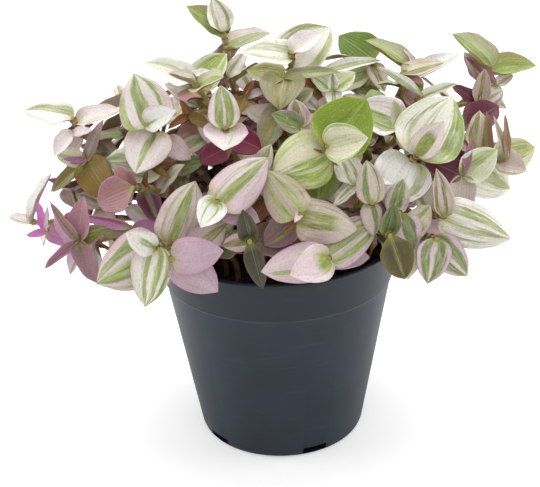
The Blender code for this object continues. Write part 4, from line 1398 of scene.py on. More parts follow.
# %% Paints and looks
PAINTS = {
    "white": (255, 254, 251), "cream": (250, 247, 235), "blush": (250, 238, 236),
    "pink": (238, 216, 222), "lilac": (208, 180, 194), "dusty": (222, 208, 196),
    "beige": (230, 224, 194), "mauve": (150, 112, 118), "rose": (178, 128, 142),
    "orchid": (184, 118, 164), "plum": (84, 28, 46), "magenta": (134, 34, 72),
    "dusk": (128, 98, 84), "lit": (182, 188, 104), "moss": (130, 138, 46),
    "fresh": (148, 176, 44), "leaf": (138, 164, 62), "sage": (158, 172, 100),
    "grey": (142, 150, 108), "deep": (102, 130, 46), "dark": (58, 76, 34),
    "olive": (122, 110, 40), "lime": (124, 148, 0), "mist": (212, 218, 178),
    "clay": (172, 122, 118), "vivid": (92, 124, 0), "ochre": (138, 114, 40), "rust": (142, 80, 42),
    # The first of these paints is a dark olive with painted shade in it, for leaves that lie in shadow
    "night": (62, 58, 38), "wine": (102, 26, 58), "umber": (76, 68, 28), "taupe": (190, 172, 158),
    "bark": (118, 76, 50), "fuchsia": (196, 104, 176), "shell": (234, 216, 212),
}
LOOKS = {
    "striped_left": (
        ("white fresh rose rose", .2, (0, .16, .42)),
        ("blush leaf rose rose", .25, (.10, .30), (.84, .18, .8), (-.62, .18)),
        ("blush leaf rose rose", .2, (.0, .17)),
        ("pink sage rose orchid", .3, (.4, .1, .6)),
        ("mist sage plum orchid", .3, (.2, .5))),
    "green_rosette": (
        ("beige fresh moss white", .5, (.9, .16), (-.9, .16)),
        ("lime vivid moss fresh", .2, (0, .3)),
        ("beige fresh rose fresh", .8, (.25, .22), (.62, .18), (.95, .15)),
        ("lime leaf moss mist", .3, (0, .5))),
    "pale_rosette": (
        ("blush lime rose rose", .1, (0, .46, .72)),
        ("cream leaf rose mist", .7, (-.78, .40), (.1, .10), (.5, .08)),
        ("white sage rose white", .25, (.6, .26), (.1, .05)),
        ("white fresh rose lime", .4, (-.9, .14), (.85, .1)),
        ("white lime rose lime", .5, (.8, .2))),
    "upright_green": (
        ("blush leaf plum rose", .2, (.36, .34), (-.38, .32)),
        ("blush mist rose orchid", .2, (.3, .1)),
        ("magenta plum magenta magenta", .1),
        ("magenta dark magenta magenta", .1),
        ("dusty grey dusk orchid", .3, (0, .4))),
    "striped_middle": (
        ("white fresh rose white", .6, (.34, .14), (-.36, .14), (0, .8, .3)),
        ("pink leaf plum rose", .4, (.02, .29), (.46, .14)),
        ("lilac sage orchid orchid", .1, (.4, .12, .5)),
        ("lilac sage orchid lilac", .1),
        ("cream leaf rose fresh", .9, (.85, .25))),
    "striped_low": (
        ("white fresh rose rose", .3, (0, .28, .6)),
        ("cream leaf plum rose", .4, (.34, .24), (-.24, .19), (.82, .16)),
        ("pink leaf plum rose", .2, (.16, .34), (-.48, .26), (.8, .14)),
        ("pink leaf plum rose", .3, (.04, .34), (-.48, .10), (.62, .12))),
    "domed_pair": (
        ("pink sage rose rose", .3),
        ("taupe leaf dusk rose", .5, (-.30, .18), (.42, .16), (-.78, .10)),
        ("dusty moss dusk rose", .8, (.05, .42, .75)),
        ("mauve leaf plum orchid", .4, (.3, .2))),
    "front_low": (
        ("pink fresh rose pink", .5, (.1, .6, .40)),
        ("pink leaf orchid orchid", .1, (.36, .18, .95)),
        ("pink leaf plum rose", .3, (.1, .34), (-.52, .26), (.66, .14)),
        ("lilac leaf orchid orchid", .1, (.5, .06, .8))),
    "white_right": (
        ("dusty olive bark pink", .5, (.55, .32), (-.3, .22)),
        ("blush sage rose white", .5, (.42, .24), (-.14, .18), (-.62, .09)),
        ("dusty moss dusk rose", .3, (.4, .3)),
        ("lilac sage orchid orchid", .1)),
    "right_edge": (
        ("shell sage clay blush", .1, (-.7, .2)),
        ("mist lit moss mist", .5, (.2, .6)),
        ("clay moss dusk rose", .3, (0, .4)),
        ("cream sage rose white", .4, (0, .4)),
        ("dusty moss bark rose", .4, (-.4, .3)),
        ("dusty grey bark rose", .3)),
    "top_left": (
        ("blush leaf rose white", .3, (.42, .24), (-.5, .2)),
        ("sage leaf lit rose", .3, (0, .6)),
        ("blush sage lit rose", .3, (-.25, .72)),
        ("blush sage lit rose", .4, (.3, .3)),
        ("dusty olive bark rose", .4, (0, .4))),
    "top_middle": (
        ("blush mist rose white", .2),
        ("cream mist rose white", .3, (.2, .2), (-.5, .3)),
        ("cream sage lit mist", .6, (.7, .26), (-.7, .26)),
        ("beige olive bark clay", .5, (0, .5)),
        ("dusty sage dusk rose", .4, (0, .5)),
        ("dusty olive bark rose", .4, (0, .4))),
    "upper_left": (
        ("white sage rose white", .3),
        ("cream mist rose white", .3, (.2, .1), (-.4, .2)),
        ("mist fresh moss white", .4, (.3, .45), (-.6, .25)),
        ("cream sage rose orchid", .4, (.3, .2)),
        ("clay olive bark rose", .3, (.4, .2)),
        ("olive moss moss orchid", .3, (0, .6))),
    "back_green": (
        ("vivid vivid vivid vivid", 0),
        ("dusty olive bark rose", .4, (0, .4)),
        ("mist sage dusk mist", .3, (0, .5)),
        ("deep leaf dusk deep", .2, (0, .5))),
    "upper_right": (
        ("blush leaf rose rose", .2, (.3, .2)),
        ("mist fresh bark rose", .4, (.2, .5)),
        ("white sage lit rose", .3, (-.2, .2)),
        ("orchid olive dusk orchid", .3, (0, .4)),
        ("mist leaf plum orchid", .4, (0, .4))),
    "far_right": (
        ("mist leaf lit rose", .3, (.1, .5)),
        ("lit leaf moss rose", .3, (0, .5)),
        ("mauve grey dusk orchid", .3, (.3, .3)),
        ("dusty grey dusk rose", .4, (.2, .3)),
        ("dusty olive dusk rose", .4, (.2, .3)),
        ("rose plum magenta orchid", .2)),
    "left_high": (
        ("blush sage rose white", .3, (-.45, .36), (.8, .14)),
        ("blush mist rose rose", .3, (-.4, .3)),
        ("lilac sage pink rose", .2, (.3, .2)),
        ("dusty grey dusk rose", .3, (0, .4)),
        ("dusty olive bark rose", .3, (0, .4))),
    "striped_right": (
        ("pink deep dusk orchid", .3, (.42, .38), (-.46, .36)),
        ("pink deep dusk orchid", .3, (.40, .38), (-.46, .34)),
        ("pink deep dusk orchid", .4, (0, .6)),
        ("pink deep dusk orchid", .4, (0, .6))),
    "lilac_low": (
        ("lilac rose orchid orchid", .1),
        ("lilac deep orchid orchid", .2, (.35, .11, .8), (.62, .08, .7)),
        ("blush leaf orchid orchid", .7, (.1, .1)),
        ("dusty moss dusk orchid", .3, (0, .4))),
    "left_tip": (
        ("white mist rose white", .4, (0, .4)),
        ("blush sage pink lilac", .2, (.5, .2)),
        ("cream mist pink white", .3),
        ("fuchsia orchid magenta fuchsia", 0)),
    "lilac_left": (
        ("lilac grey orchid orchid", .1),
        ("lilac olive orchid orchid", .3, (.3, .3)),
        ("lilac deep plum orchid", .3, (0, .4)),
        ("orchid deep magenta orchid", .1),
        ("orchid deep plum orchid", .3, (-.3, .4))),
    "pink_pair": (
        ("blush leaf rose white", .3, (.25, .5)),
        ("mist sage rose white", .3),
        ("dusty sage rose rose", .4, (0, .4)),
        ("pink leaf rose rose", .3, (.3, .2))),
    "pale_vee": (
        ("white sage lit white", .4, (0, .34)),
        ("cream sage lit white", .4, (0, .3)),
        ("pink sage rose rose", .3),
        ("lilac sage orchid orchid", .3)),
    "dark_right": (
        ("wine plum magenta magenta", .1),
        ("plum dark magenta plum", .2),
        ("magenta dark magenta magenta", .1),
        ("plum dusk magenta orchid", .2),
        ("dusty olive bark rose", .3)),
    "pink_under": (
        ("clay clay rose orchid", .1),
        ("clay dusk rose orchid", .1),
        ("plum dusk plum orchid", .1, (0, .3)),
        ("dusty sage bark rose", .4, (0, .3))),
    "olive_drop": (
        ("umber olive umber ochre", 0, (0, .16)),
        ("deep dark dusk rose", .3, (0, .6)),
        ("deep olive dusk rose", .3, (0, .6)),
        ("deep olive dusk rose", .3, (0, .6))),
    "grey_green": (
        ("mist grey dusk white", .5, (.1, .75)),
        ("mist sage dusk white", .4, (0, .5)),
        ("grey deep dusk mauve", .3, (0, .7)),
        ("grey sage dusk rose", .3, (0, .6))),
    "dark_middle": (
        # Painted shade: these two leaves are their own dark olive darkened further, as if shadowed by
        # the leaves in front
        ("night dark plum dusk", 0, (.3, .10)),
        ("night dark plum dusk", 0, (-.2, .12)),
        ("dusty olive dusk orchid", .3, (0, .5)),
        ("dusk dark plum rose", .3)),
    "striped_inner": (
        ("dusty deep bark rose", .3, (.3, .3), (-.6, .15)),
        ("dusty deep bark rose", .3, (.4, .3)),
        ("mauve deep bark rose", .3, (0, .4)),
        ("clay dusk bark rose", .3)),
    "dark_inner": (
        ("pink deep dusk orchid", .3, (.2, .5)),
        ("dusty deep dusk orchid", .3, (.2, .5)),
        ("dusty deep dusk rose", .4, (0, .6))),
    "pale_inner": (
        ("dusty leaf dusk rose", .4, (0, .4)),
        ("dusty deep bark rose", .4, (.3, .3)),
        ("dusty olive bark rose", .4, (0, .4)),
        ("mist grey dusk rose", .4)),
    "magenta_inner": (
        ("magenta dark magenta magenta", .1),
        ("magenta plum magenta magenta", .1),
        ("dusk dark plum rose", .3),
        ("plum dark magenta magenta", .2)),
    "grey_crown": (
        ("grey olive dusk orchid", .9, (0, .5)),
        ("mist grey dusk orchid", .6, (0, .5)),
        ("dusty grey dusk rose", .4, (.3, .3)),
        ("dusty olive bark rose", .5, (0, .4)),
        ("deep leaf dusk rose", .4, (0, .6)),
        ("dusty olive bark rose", .5)),
    "back_high_5": (
        ("blush leaf taupe rose", .3, (0, .3)),
        ("blush leaf taupe rose", .3, (0, .3))),
    "crown_1": (
        ("cream sage dusk rose", .3),
        ("beige leaf dusk rose", .3, (0, .4)),
        ("beige olive bark rose", .3, (0, .4)),
        ("blush leaf dusk orchid", .3, (0, .3))),
    "crown_2": (
        ("cream sage dusk rose", .3),
        ("beige leaf lit rose", .3, (0, .4)),
        ("clay olive dusk rose", .3, (0, .3)),
        ("dusty grey dusk rose", .3)),
    "crown_3": (
        ("cream sage dusk rose", .3, (0, .3)),
        ("mist leaf dusk rose", .3, (0, .4)),
        ("clay olive bark orchid", .4, (-.5, .4)),
        ("dusty grey dusk rose", .4, (0, .4)),
        ("clay olive bark rose", .4, (0, .4))),
}
HABITS = {
    "pale": ("blush leaf dusk rose", "cream sage rose rose", "beige leaf dusk rose",
             "mist leaf moss rose", "dusty leaf dusk rose", "sage leaf dusk rose"),
    "lilac": ("lilac sage orchid orchid", "dusty sage dusk orchid", "beige grey dusk rose",
              "dusty grey dusk rose"),
    "green": ("fresh leaf moss mist", "mist deep moss rose", "sage deep dusk rose",
              "olive deep dusk rose"),
    "purple": ("mauve grey dusk orchid", "plum dark magenta orchid", "dusty olive dusk rose",
               "grey deep dusk rose", "olive dark bark rose"),
}
OLD_HABITS = ("dusty grey dusk rose", "dusty deep bark rose", "mist grey dusk rose",
              "grey deep dusk rose", "dusk dark plum rose", "ochre olive bark rust",
              "olive dark bark rust", "sage deep dusk rose", "grey olive bark dusty",
              "rust ochre bark rust")
LOOK_SEED = 7
YOUNG_LEAVES = 4
NO_END = 2.0
HIDDEN_STRIPE = (9.0, 0.0, NO_END)

# What a drawn look chooses from: how many stripes, how far out, how wide, how long, how streaky
STRIPE_COUNTS = (0, 1, 1, 2, 3)
STRIPE_START = 0.12
STRIPE_STEP = 0.42
STRIPE_SPREAD = (.7, 1.2)
STRIPE_WIDTHS = (.07, .28)
STRIPE_ENDS = (.6, .8, NO_END, NO_END)
STREAKINESS = (.1, .7)

Look = namedtuple("Look", "pale green under rim streaks stripes")


def table_look(entry):
    """A look from its row: paints, streaks, then the stripes."""
    paints, streaks, *stripes = entry
    stripes = [(*stripe, NO_END)[:3] for stripe in stripes]
    stripes += [HIDDEN_STRIPE] * (3 - len(stripes))
    return Look(*[srgb(*PAINTS[name]) for name in paints.split()], streaks, stripes)


def drawn_look(paints, draw):
    """A look with stripes drawn at random."""
    stripes = []
    side = draw.choice((-1, 1))
    for number in range(draw.choice(STRIPE_COUNTS)):
        place = side * (STRIPE_START + STRIPE_STEP * number) * draw.uniform(*STRIPE_SPREAD)
        stripes.append((place, draw.uniform(*STRIPE_WIDTHS), draw.choice(STRIPE_ENDS)))
        side = -side
    return table_look((paints, draw.uniform(*STREAKINESS), *stripes))


def leaf_looks():
    """The look of every leaf of every stem."""
    draw = random.Random(LOOK_SEED)
    looks = {}
    for stem in STEMS:
        given = LOOKS.get(stem.name, ())
        chosen = []
        for number in range(len(stem.leaves)):
            young = draw.choice(HABITS[stem.colour])
            old = draw.choice(OLD_HABITS)
            fallback = drawn_look(young if number < YOUNG_LEAVES else old, draw)
            chosen.append(table_look(given[number]) if number < len(given) else fallback)
        looks[stem.name] = chosen
    return looks


LEAF_LOOKS = leaf_looks()
ROUTES = [stem.route for stem in STEMS]
EXTRA = fill_mound()
print("extra leaves", sum(len(added) for added, _ in EXTRA.values()),
      "shoots", sum(len(shoots) for _, shoots in EXTRA.values()))
print("looks", sum(len(looks) for looks in LEAF_LOOKS.values()))

# %% [markdown]
# Every fine leaf is one small flat pattern, bent to its own shape afterwards. The pattern is a
# closed cushion of two layers that meet along the margin, so the bent leaf is a thin solid with
# an upper and a lower face. Its rows stand closer near the base and the point, where the outline
# turns fastest. Each corner remembers where it is on the leaf, for the shape and for the paint.

# %% The pattern of a leaf
PATTERN_ROWS = 15
PATTERN_COLUMNS = 10
FIELDS = {"FLOAT": "value", "FLOAT2": "vector", "FLOAT_VECTOR": "vector", "FLOAT_COLOR": "color"}


def store(mesh, name, kind, values, domain="POINT"):
    """Write one attribute on a mesh."""
    flat = [part for value in values for part in value] if kind != "FLOAT" else list(values)
    mesh.attributes.new(name, kind, domain).data.foreach_set(FIELDS[kind], flat)


def pattern_side(column):
    """How far across the leaf a column of the pattern stands, from -1 to 1."""
    return -math.cos(math.pi * column / PATTERN_COLUMNS)


def leaf_pattern():
    """An object whose flat mesh carries across, along and layer on its points."""
    shares = [(1 - math.cos(math.pi * row / (PATTERN_ROWS + 1))) / 2
              for row in range(1, PATTERN_ROWS + 1)]
    spots = [(0.0, 0.0, 0.0)]
    rings = []
    for share in shares:
        ring = {}
        for layer in (1, -1):
            for column in range(PATTERN_COLUMNS + 1):
                across = pattern_side(column)
                if layer < 0 and column in (0, PATTERN_COLUMNS):
                    ring[layer, column] = ring[1, column]
                    continue
                ring[layer, column] = len(spots)
                spots.append((across, share, layer * math.sqrt(max(0, 1 - across * across))))
        rings.append(ring)
    tip = len(spots)
    spots.append((0.0, 1.0, 0.0))
    faces, corners, under = [], [], []
    for layer in (1, -1):
        for column in range(PATTERN_COLUMNS):
            sides = [pattern_side(column), pattern_side(column + 1)]
            middle = sum(sides) / 2
            for number in range(len(rings) + 1):
                low = rings[number - 1] if number else None
                high = rings[number] if number < len(rings) else None
                points = [low[layer, column], low[layer, column + 1]] if low else [0]
                marks = [(side, shares[number - 1]) for side in sides] if low else [(middle, 0)]
                points += [high[layer, column + 1], high[layer, column]] if high else [tip]
                marks += [(side, shares[number]) for side in sides[::-1]] if high else [(middle, 1)]
                if layer > 0:
                    points, marks = points[::-1], marks[::-1]
                faces.append(points)
                corners += marks
                under.append(float(layer < 0))
    points = [(across, along, 0) for across, along, _ in spots]
    pattern = new_object("leaf pattern", points, [], faces)
    for name, values in zip(("across", "along", "layer"), zip(*spots)):
        store(pattern.data, name, "FLOAT", values)
    store(pattern.data, "underside", "FLOAT", under, "FACE")
    uv = [((across + 1) / 2, along) for across, along in corners]
    store(pattern.data, "leaf", "FLOAT2", uv, "CORNER")
    return pattern


LEAF_PATTERN = leaf_pattern()
print("faces of a leaf", len(LEAF_PATTERN.data.polygons))

# %% [markdown]
# A sheath is the short sleeve that a leaf's base wraps round the stem. It is a turned ring with
# an inner wall, flared at the top.

# %% The pattern of a sheath
SHEATH_SIDES = 10
SHEATH_OUTLINE = ((1.0, 0.0), (1.08, 0.2), (1.11, 0.5), (1.13, 0.8), (1.20, 1.0), (1.12, 1.0),
                  (1.02, 0.7), (0.95, 0.2))


def sheath_pattern():
    """A closed sleeve, one stem radius wide and 1 unit tall."""
    count = len(SHEATH_OUTLINE)
    points = []
    for side in range(SHEATH_SIDES):
        angle = 2 * math.pi * side / SHEATH_SIDES
        ragged = 1 + 0.10 * math.sin(3 * angle) + 0.06 * math.sin(5 * angle + 1)
        for radius, height in SHEATH_OUTLINE:
            tall = height * ragged if height > 0.5 else height
            points.append((radius * math.cos(angle), radius * math.sin(angle), tall))
    faces = []
    for side in range(SHEATH_SIDES):
        here, there = side * count, (side + 1) % SHEATH_SIDES * count
        for step in range(count):
            after = (step + 1) % count
            faces.append((here + step, there + step, there + after, here + after))
    return new_object("sheath pattern", points, [], faces)


SHEATH_PATTERN = sheath_pattern()
print("faces of a sheath", len(SHEATH_PATTERN.data.polygons))

# %% [markdown]
# One Geometry Nodes tree dresses a leafy stem. It reads a bare sketch: a point for each leaf and
# each sheath, and a line for the stem, with all the sizes as attributes. The leaves are pattern
# copies, bent by the same sums as the solids: a curl along the length, a fold across the width,
# and a base that clasps the stem. A wave along the margin is the only thing added to the form.

# %% The tree that dresses a stem
FOLD_CURVE = 0.6
SHOULDER = 0.70
POINT_SLOPE = 1.65
BASE_ROUND = 0.32
RIPPLES_ALONG = 13.0
RIPPLES_ACROSS = 1.4
RIPPLE_SHIFT = 40.0
PLUMP_RISE = 3.0
LEAF_POINT, STEM_POINT, SHEATH_POINT = 0, 1, 2
DRESS_INPUTS = {"Leaf": LEAF_PATTERN, "Sheath": SHEATH_PATTERN, "Flesh": 0.7 * MM,
                "Margin wave": 0.35 * MM, "Stem sides": 12}


def bent_leaf(board, given):
    """The position of a pattern point on its own leaf."""
    across, share, layer = board.named("across"), board.named("along"), board.named("layer")
    axis, normal = board.named("axis", "FLOAT_VECTOR"), board.named("normal", "FLOAT_VECTOR")
    bend = board.named("bend")
    turn = board.times(bend, share)
    radius = board.maths("DIVIDE", board.named("length"), bend)
    sine, cosine = board.maths("SINE", turn), board.maths("COSINE", turn)
    ahead = board.times(radius, sine)
    drop = board.times(radius, board.minus(1.0, cosine))
    up = board.vector("ADD", board.scaled(normal, cosine), board.scaled(axis, sine))
    side = board.vector("CROSS_PRODUCT", normal, axis)

    rest = board.minus(1.0, share)
    rise = board.maths("POWER", share, BASE_ROUND)
    fall = board.maths("POWER", rest, SHOULDER)
    fall = board.maths("MINIMUM", fall, board.times(rest, POINT_SLOPE))
    widest = BASE_ROUND / (BASE_ROUND + SHOULDER)
    most = widest ** BASE_ROUND * (1 - widest) ** SHOULDER
    breadth = board.times(board.times(rise, fall), 0.5 / most)
    half = board.times(breadth, board.named("width"))

    edge = board.maths("ABSOLUTE", across)
    clasp = board.times(board.ramp(share, CLASP_END, 0.0), CLASP)
    fold = board.times(board.plus(board.named("cup"), clasp), board.maths("POWER", edge, FOLD_CURVE))
    out = board.times(board.times(half, across), board.maths("COSINE", fold))
    lift = board.times(board.times(half, edge), board.maths("SINE", fold))

    ripple = board.sloped(share, RIPPLES_ALONG, board.times(across, RIPPLES_ACROSS))
    ripple = board.plus(ripple, board.times(board.named("seed"), RIPPLE_SHIFT))
    wave = board.times(board.maths("SINE", ripple), given["Margin wave"])
    wave = board.times(wave, board.maths("POWER", edge, 2.0))
    wave = board.times(wave, board.times(breadth, 2.0))
    plump = board.maths("MINIMUM", board.times(breadth, PLUMP_RISE), 0.5)
    plump = board.times(board.times(plump, layer), given["Flesh"])
    lift = board.plus(lift, board.plus(wave, plump))

    place = board.vector("ADD", board.named("base", "FLOAT_VECTOR"), board.scaled(axis, ahead))
    place = board.vector("SUBTRACT", place, board.scaled(normal, drop))
    place = board.vector("ADD", place, board.scaled(side, out))
    return board.vector("ADD", place, board.scaled(up, lift))


def dress_tree():
    """The tree: leaves, stem and sheaths from a sketch of points and a line."""
    inputs = [("Sketch", "Geometry", None)] + tree_inputs(DRESS_INPUTS)
    board, given, result = new_group("dressed stem", "GeometryNodeTree", inputs,
                                     [("Plant", "Geometry")])

    def part(number):
        chosen = board.maths("COMPARE", board.named("kind"), float(number), 0.1)
        return board.first("GeometryNodeSeparateGeometry", {0: given["Sketch"], 1: chosen})

    def copies(points, source, **more):
        shape = board.fed("GeometryNodeObjectInfo", {"Object": given[source]}).outputs["Geometry"]
        inputs = {"Points": points, "Instance": shape, **more}
        made = board.first("GeometryNodeInstanceOnPoints", inputs)
        return board.first("GeometryNodeRealizeInstances", {0: made})

    leaves = board.first("GeometryNodeSetPosition", {"Geometry": copies(part(LEAF_POINT), "Leaf"),
                                                     "Position": bent_leaf(board, given)})
    below = board.maths("GREATER_THAN", board.named("underside"), 0.5)
    leaves = board.material(board.material(leaves, LEAF_UPPER), LEAF_UNDER, Selection=below)

    line = board.first("GeometryNodeMeshToCurve", {"Mesh": part(STEM_POINT)})
    ring = board.first("GeometryNodeCurvePrimitiveCircle",
                       {"Resolution": given["Stem sides"], "Radius": 1.0})
    thick = board.named("thick")
    stem = board.first("GeometryNodeCurveToMesh", {"Curve": line, "Profile Curve": ring,
                                                   "Scale": thick, "Fill Caps": True})
    turn = board.first("FunctionNodeAlignRotationToVector",
                       {"Vector": board.named("axis", "FLOAT_VECTOR")}, axis="Z")
    size = board.triple(thick, thick, board.named("length"))
    sheaths = copies(part(SHEATH_POINT), "Sheath", Rotation=turn, Scale=size)

    joined = board.node("GeometryNodeJoinGeometry")
    for shape in (board.material(sheaths, SHEATH_SKIN), board.material(stem, STEM_SKIN), leaves):
        board.feed(joined.inputs[0], shape)
    board.feed(result[0], board.first("GeometryNodeSetShadeSmooth", {"Geometry": joined.outputs[0]}))
    return board.tree


DRESS = dress_tree()
print("nodes in the dressing tree", len(DRESS.nodes))

# %% [markdown]
# The sketch of a stem follows its route through a smooth curve. The stem swells at every joint,
# and each joint below the rosette has its sheath. Some low sheaths have dried to orange brown.

# %% Sketch and dress every stem
SWELL = 0.24
SWELL_REACH = 1.4 * MM
ROUTE_PIECES = 5
SHEATH_LENGTH = 2.8 * MM
SHEATH_GROWTH = (0.45, 0.7, 1.0)
SHEATH_THICKNESS = (1.0, 1.12)
FRESH_SHEATHS = 4
DRY_SHARE = 0.45
AGE_LENGTH = 70.0 * MM
BARE_THICKNESS = 0.9
JOINT_FLUSH = 0.6
SHOOT_AGE = 0.25
SHOOT_PIECES = 3
SHEATH_SEED = 3

# The attributes of a sketch's points, by type, and those that the form needs but no material reads
SKETCH_FIELDS = {
    "FLOAT": "kind length width bend cup seed streaks thick age joint dry",
    "FLOAT_VECTOR": "base axis normal places widths ends",
    "FLOAT_COLOR": "pale green under rim",
}
SHAPE_FIELDS = "kind base axis normal length width bend cup thick across along layer underside"
BLANK = {"FLOAT": 0.0, "FLOAT_VECTOR": (0.0, 0.0, 1.0), "FLOAT_COLOR": (0.5, 0.5, 0.5, 1.0)}


def smooth_line(points, pieces):
    """A curve through all the points, with so many pieces between each two."""
    line = []
    for number in range(len(points) - 1):
        before = points[max(number - 1, 0)]
        start, end = points[number], points[number + 1]
        after = points[min(number + 2, len(points) - 1)]
        for piece in range(pieces):
            t = piece / pieces
            line.append(0.5 * (2 * start + (end - before) * t
                               + (2 * before - 5 * start + 4 * end - after) * t * t
                               + (3 * start - before - 3 * end + after) * t ** 3))
    return line + [points[-1]]


def leaf_points(leaves, draw):
    """The sketch's points for pairs of a leaf and its look; a leaf left out has none."""
    rows = []
    for leaf, look in leaves:
        if leaf:
            row = {**leaf._asdict(), **look._asdict(), "kind": LEAF_POINT, "axis": leaf.along}
            row["places"], row["widths"], row["ends"] = zip(*look.stripes)
            rows.append({**row, "seed": draw.random()})
    return rows


def sheath_points(stem, nodes, draw):
    """The sketch's points for the sheaths at a stem's joints."""
    rows = []
    for number, distance in enumerate(nodes):
        place, axis = place_on(stem.route, distance)
        dry = number >= FRESH_SHEATHS and draw.random() < DRY_SHARE
        tall = SHEATH_LENGTH * SHEATH_GROWTH[min(number, 2)]
        rows.append({"kind": SHEATH_POINT, "base": place - axis * tall, "axis": axis,
                     "length": tall, "dry": float(dry),
                     "thick": STEM_RADIUS * draw.uniform(*SHEATH_THICKNESS)})
    return rows


def stem_points(stem, nodes):
    """The sketch's points along a stem, which swells at its joints."""
    line = smooth_line(stem.route, ROUTE_PIECES)
    left = sum((b - a).length for a, b in zip(line, line[1:]))
    rows = []
    for number, (point, radius) in enumerate(zip(line, route_radii(len(line)))):
        if number:
            left -= (point - line[number - 1]).length
        near = min((abs(left - distance) for distance in nodes), default=1.0)
        swell = math.exp(-(near / SWELL_REACH) ** 2)
        rows.append({"kind": STEM_POINT, "base": point, "age": left / AGE_LENGTH,
                     "thick": radius * (BARE_THICKNESS + SWELL * swell),
                     "joint": JOINT_FLUSH * swell})
    return rows


def sketch_points(stem, draw):
    """Every point of a stem's sketch as a dictionary of its attributes, and the sketch's edges."""
    nodes = node_distances(stem.route)
    added, shoots = EXTRA[stem.name]
    rows = leaf_points(list(zip(stem.leaves, LEAF_LOOKS[stem.name])) + added, draw)
    rows += sheath_points(stem, nodes, draw)
    edges = []

    def add_line(line):
        """Add points that are joined one after another."""
        first = len(rows)
        rows.extend(line)
        edges.extend((number, number + 1) for number in range(first, len(rows) - 1))

    add_line(stem_points(stem, nodes))
    for shoot in shoots:
        rows += leaf_points(zip(shoot.leaves, shoot.looks), draw)
        add_line([{"kind": STEM_POINT, "base": point, "thick": TIP_RADIUS, "age": SHOOT_AGE}
                  for point in smooth_line(shoot.line, SHOOT_PIECES)])
    return rows, edges


def dress(name, rows, edges, node, slot):
    """Grow a sketch into a finished piece that rides on the root body, in place of its solid."""
    piece = new_object(name, [row["base"] for row in rows], edges, [])
    for kind, fields in SKETCH_FIELDS.items():
        for field in fields.split():
            store(piece.data, field, kind, [row.get(field, BLANK[kind]) for row in rows])
    grow(piece, DRESS, DRESS_INPUTS)
    for field in SHAPE_FIELDS.split():
        piece.data.attributes.remove(piece.data.attributes[field])
    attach(piece, "root")
    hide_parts(node)
    piece.data.calc_loop_triangles()
    return len(piece.data.loop_triangles)


def dress_stems():
    """Every leafy stem, each in place of its solid."""
    draw = random.Random(SHEATH_SEED)
    return sum(dress("leafy_" + stem.name, *sketch_points(stem, draw), "vine_" + stem.name,
                     "leaf_" + stem.colour) for stem in STEMS)


print("triangles of the leafy stems", dress_stems())
for pattern in (LEAF_PATTERN, SHEATH_PATTERN):
    bpy.data.objects.remove(pattern)

# %% [markdown]
# The pot is thin moulded plastic, slate grey and semi-matt. Its colour is almost even, with a
# faint cloudiness and soft scuffs that run around it; painted shade of the leaves darkens the
# band under the rim, and a pale line where the band starts is a painted highlight. The grain
# group gives both the plastic and the soil their unevenness, at their own scales.

# %% Plastic and soil
POT_ROUGHNESS = 0.34
ROUGHNESS_RANGE = 0.16
BAND_FADE = 0.4 * MM
BAND_SHADE_STRENGTH = 0.5
HIGHLIGHT_HALF_WIDTH = 0.7 * MM
HIGHLIGHT_STRENGTH = 0.2
DUST_STRENGTH = 0.10


def grain_group():
    """Cloudy colour variation and a fine height, from the object's own place."""
    inputs = [("Cloud scale", "Float", 60.0), ("Fine scale", "Float", 3000.0)]
    outputs = [("Cloud", "Float"), ("Fine", "Float")]
    board, given, result = new_group("grain", "ShaderNodeTree", inputs, outputs)
    place = board.own_place()
    board.feed(result["Cloud"], board.noise(place, given["Cloud scale"], 4.0))
    board.feed(result["Fine"], board.noise(place, given["Fine scale"]))
    return board.tree


GRAIN = grain_group()


def pot_material():
    """Slate grey moulded plastic; painted shade on the band, a painted highlight along its lower edge.
    """
    made, board, shader = material_board("moulded plastic")
    grain = board.fed("ShaderNodeGroup", {}, node_tree=GRAIN).outputs
    place = board.own_place()
    clouds = board.ramp(grain["Cloud"], 0.3, 0.7)
    colour = board.blend(clouds, srgb(14, 29, 44), srgb(28, 41, 57))
    height = board.split(place)[2]
    # Painted shade: the band is darkened as if in the shadow of the leaves that hang over it
    band = board.ramp(height, SEAM_HEIGHT, SEAM_HEIGHT + BAND_FADE)
    colour = board.blend(board.times(band, BAND_SHADE_STRENGTH), colour, srgb(11, 20, 31))
    # Painted highlight: a pale line along the step where the band starts, as if light caught its edge
    edge = board.maths("ABSOLUTE", board.minus(height, SEAM_HEIGHT + BAND_FADE / 2))
    painted_highlight = board.times(board.ramp(edge, HIGHLIGHT_HALF_WIDTH, BAND_FADE / 2), HIGHLIGHT_STRENGTH)
    colour = board.blend(painted_highlight, colour, srgb(92, 98, 108))
    streaked = board.noise(board.vector("MULTIPLY", place, (90.0, 90.0, 900.0)), detail=3.0)
    dust = board.times(board.ramp(streaked, 0.60, 0.80), DUST_STRENGTH)
    board.feed(shader["Base Color"], board.blend(dust, colour, srgb(110, 114, 120)))
    board.feed(shader["Roughness"], board.sloped(grain["Cloud"], ROUGHNESS_RANGE, POT_ROUGHNESS))
    board.relief(shader, grain["Fine"], 0.12, 0.2 * MM)
    return made


def soil_material():
    """Dark damp potting soil with browner fibres."""
    made, board, shader = material_board("potting soil")
    scales = {"Cloud scale": 260.0, "Fine scale": 1800.0}
    grain = board.fed("ShaderNodeGroup", scales, node_tree=GRAIN).outputs
    clouds = board.ramp(grain["Cloud"], 0.35, 0.65)
    colour = board.blend(clouds, srgb(34, 24, 18), srgb(78, 54, 40))
    colour = board.blend(board.ramp(grain["Fine"], 0.62, 0.72), colour, srgb(124, 92, 66))
    board.feed(shader["Base Color"], colour)
    board.relief(shader, grain["Fine"], 0.7, 0.5 * MM)
    shader["Roughness"].default_value = 0.92
    return made


POT_PLASTIC = pot_material()
SOIL_LOOK = soil_material()
print("pot and soil materials", POT_PLASTIC.name, "and", SOIL_LOOK.name)

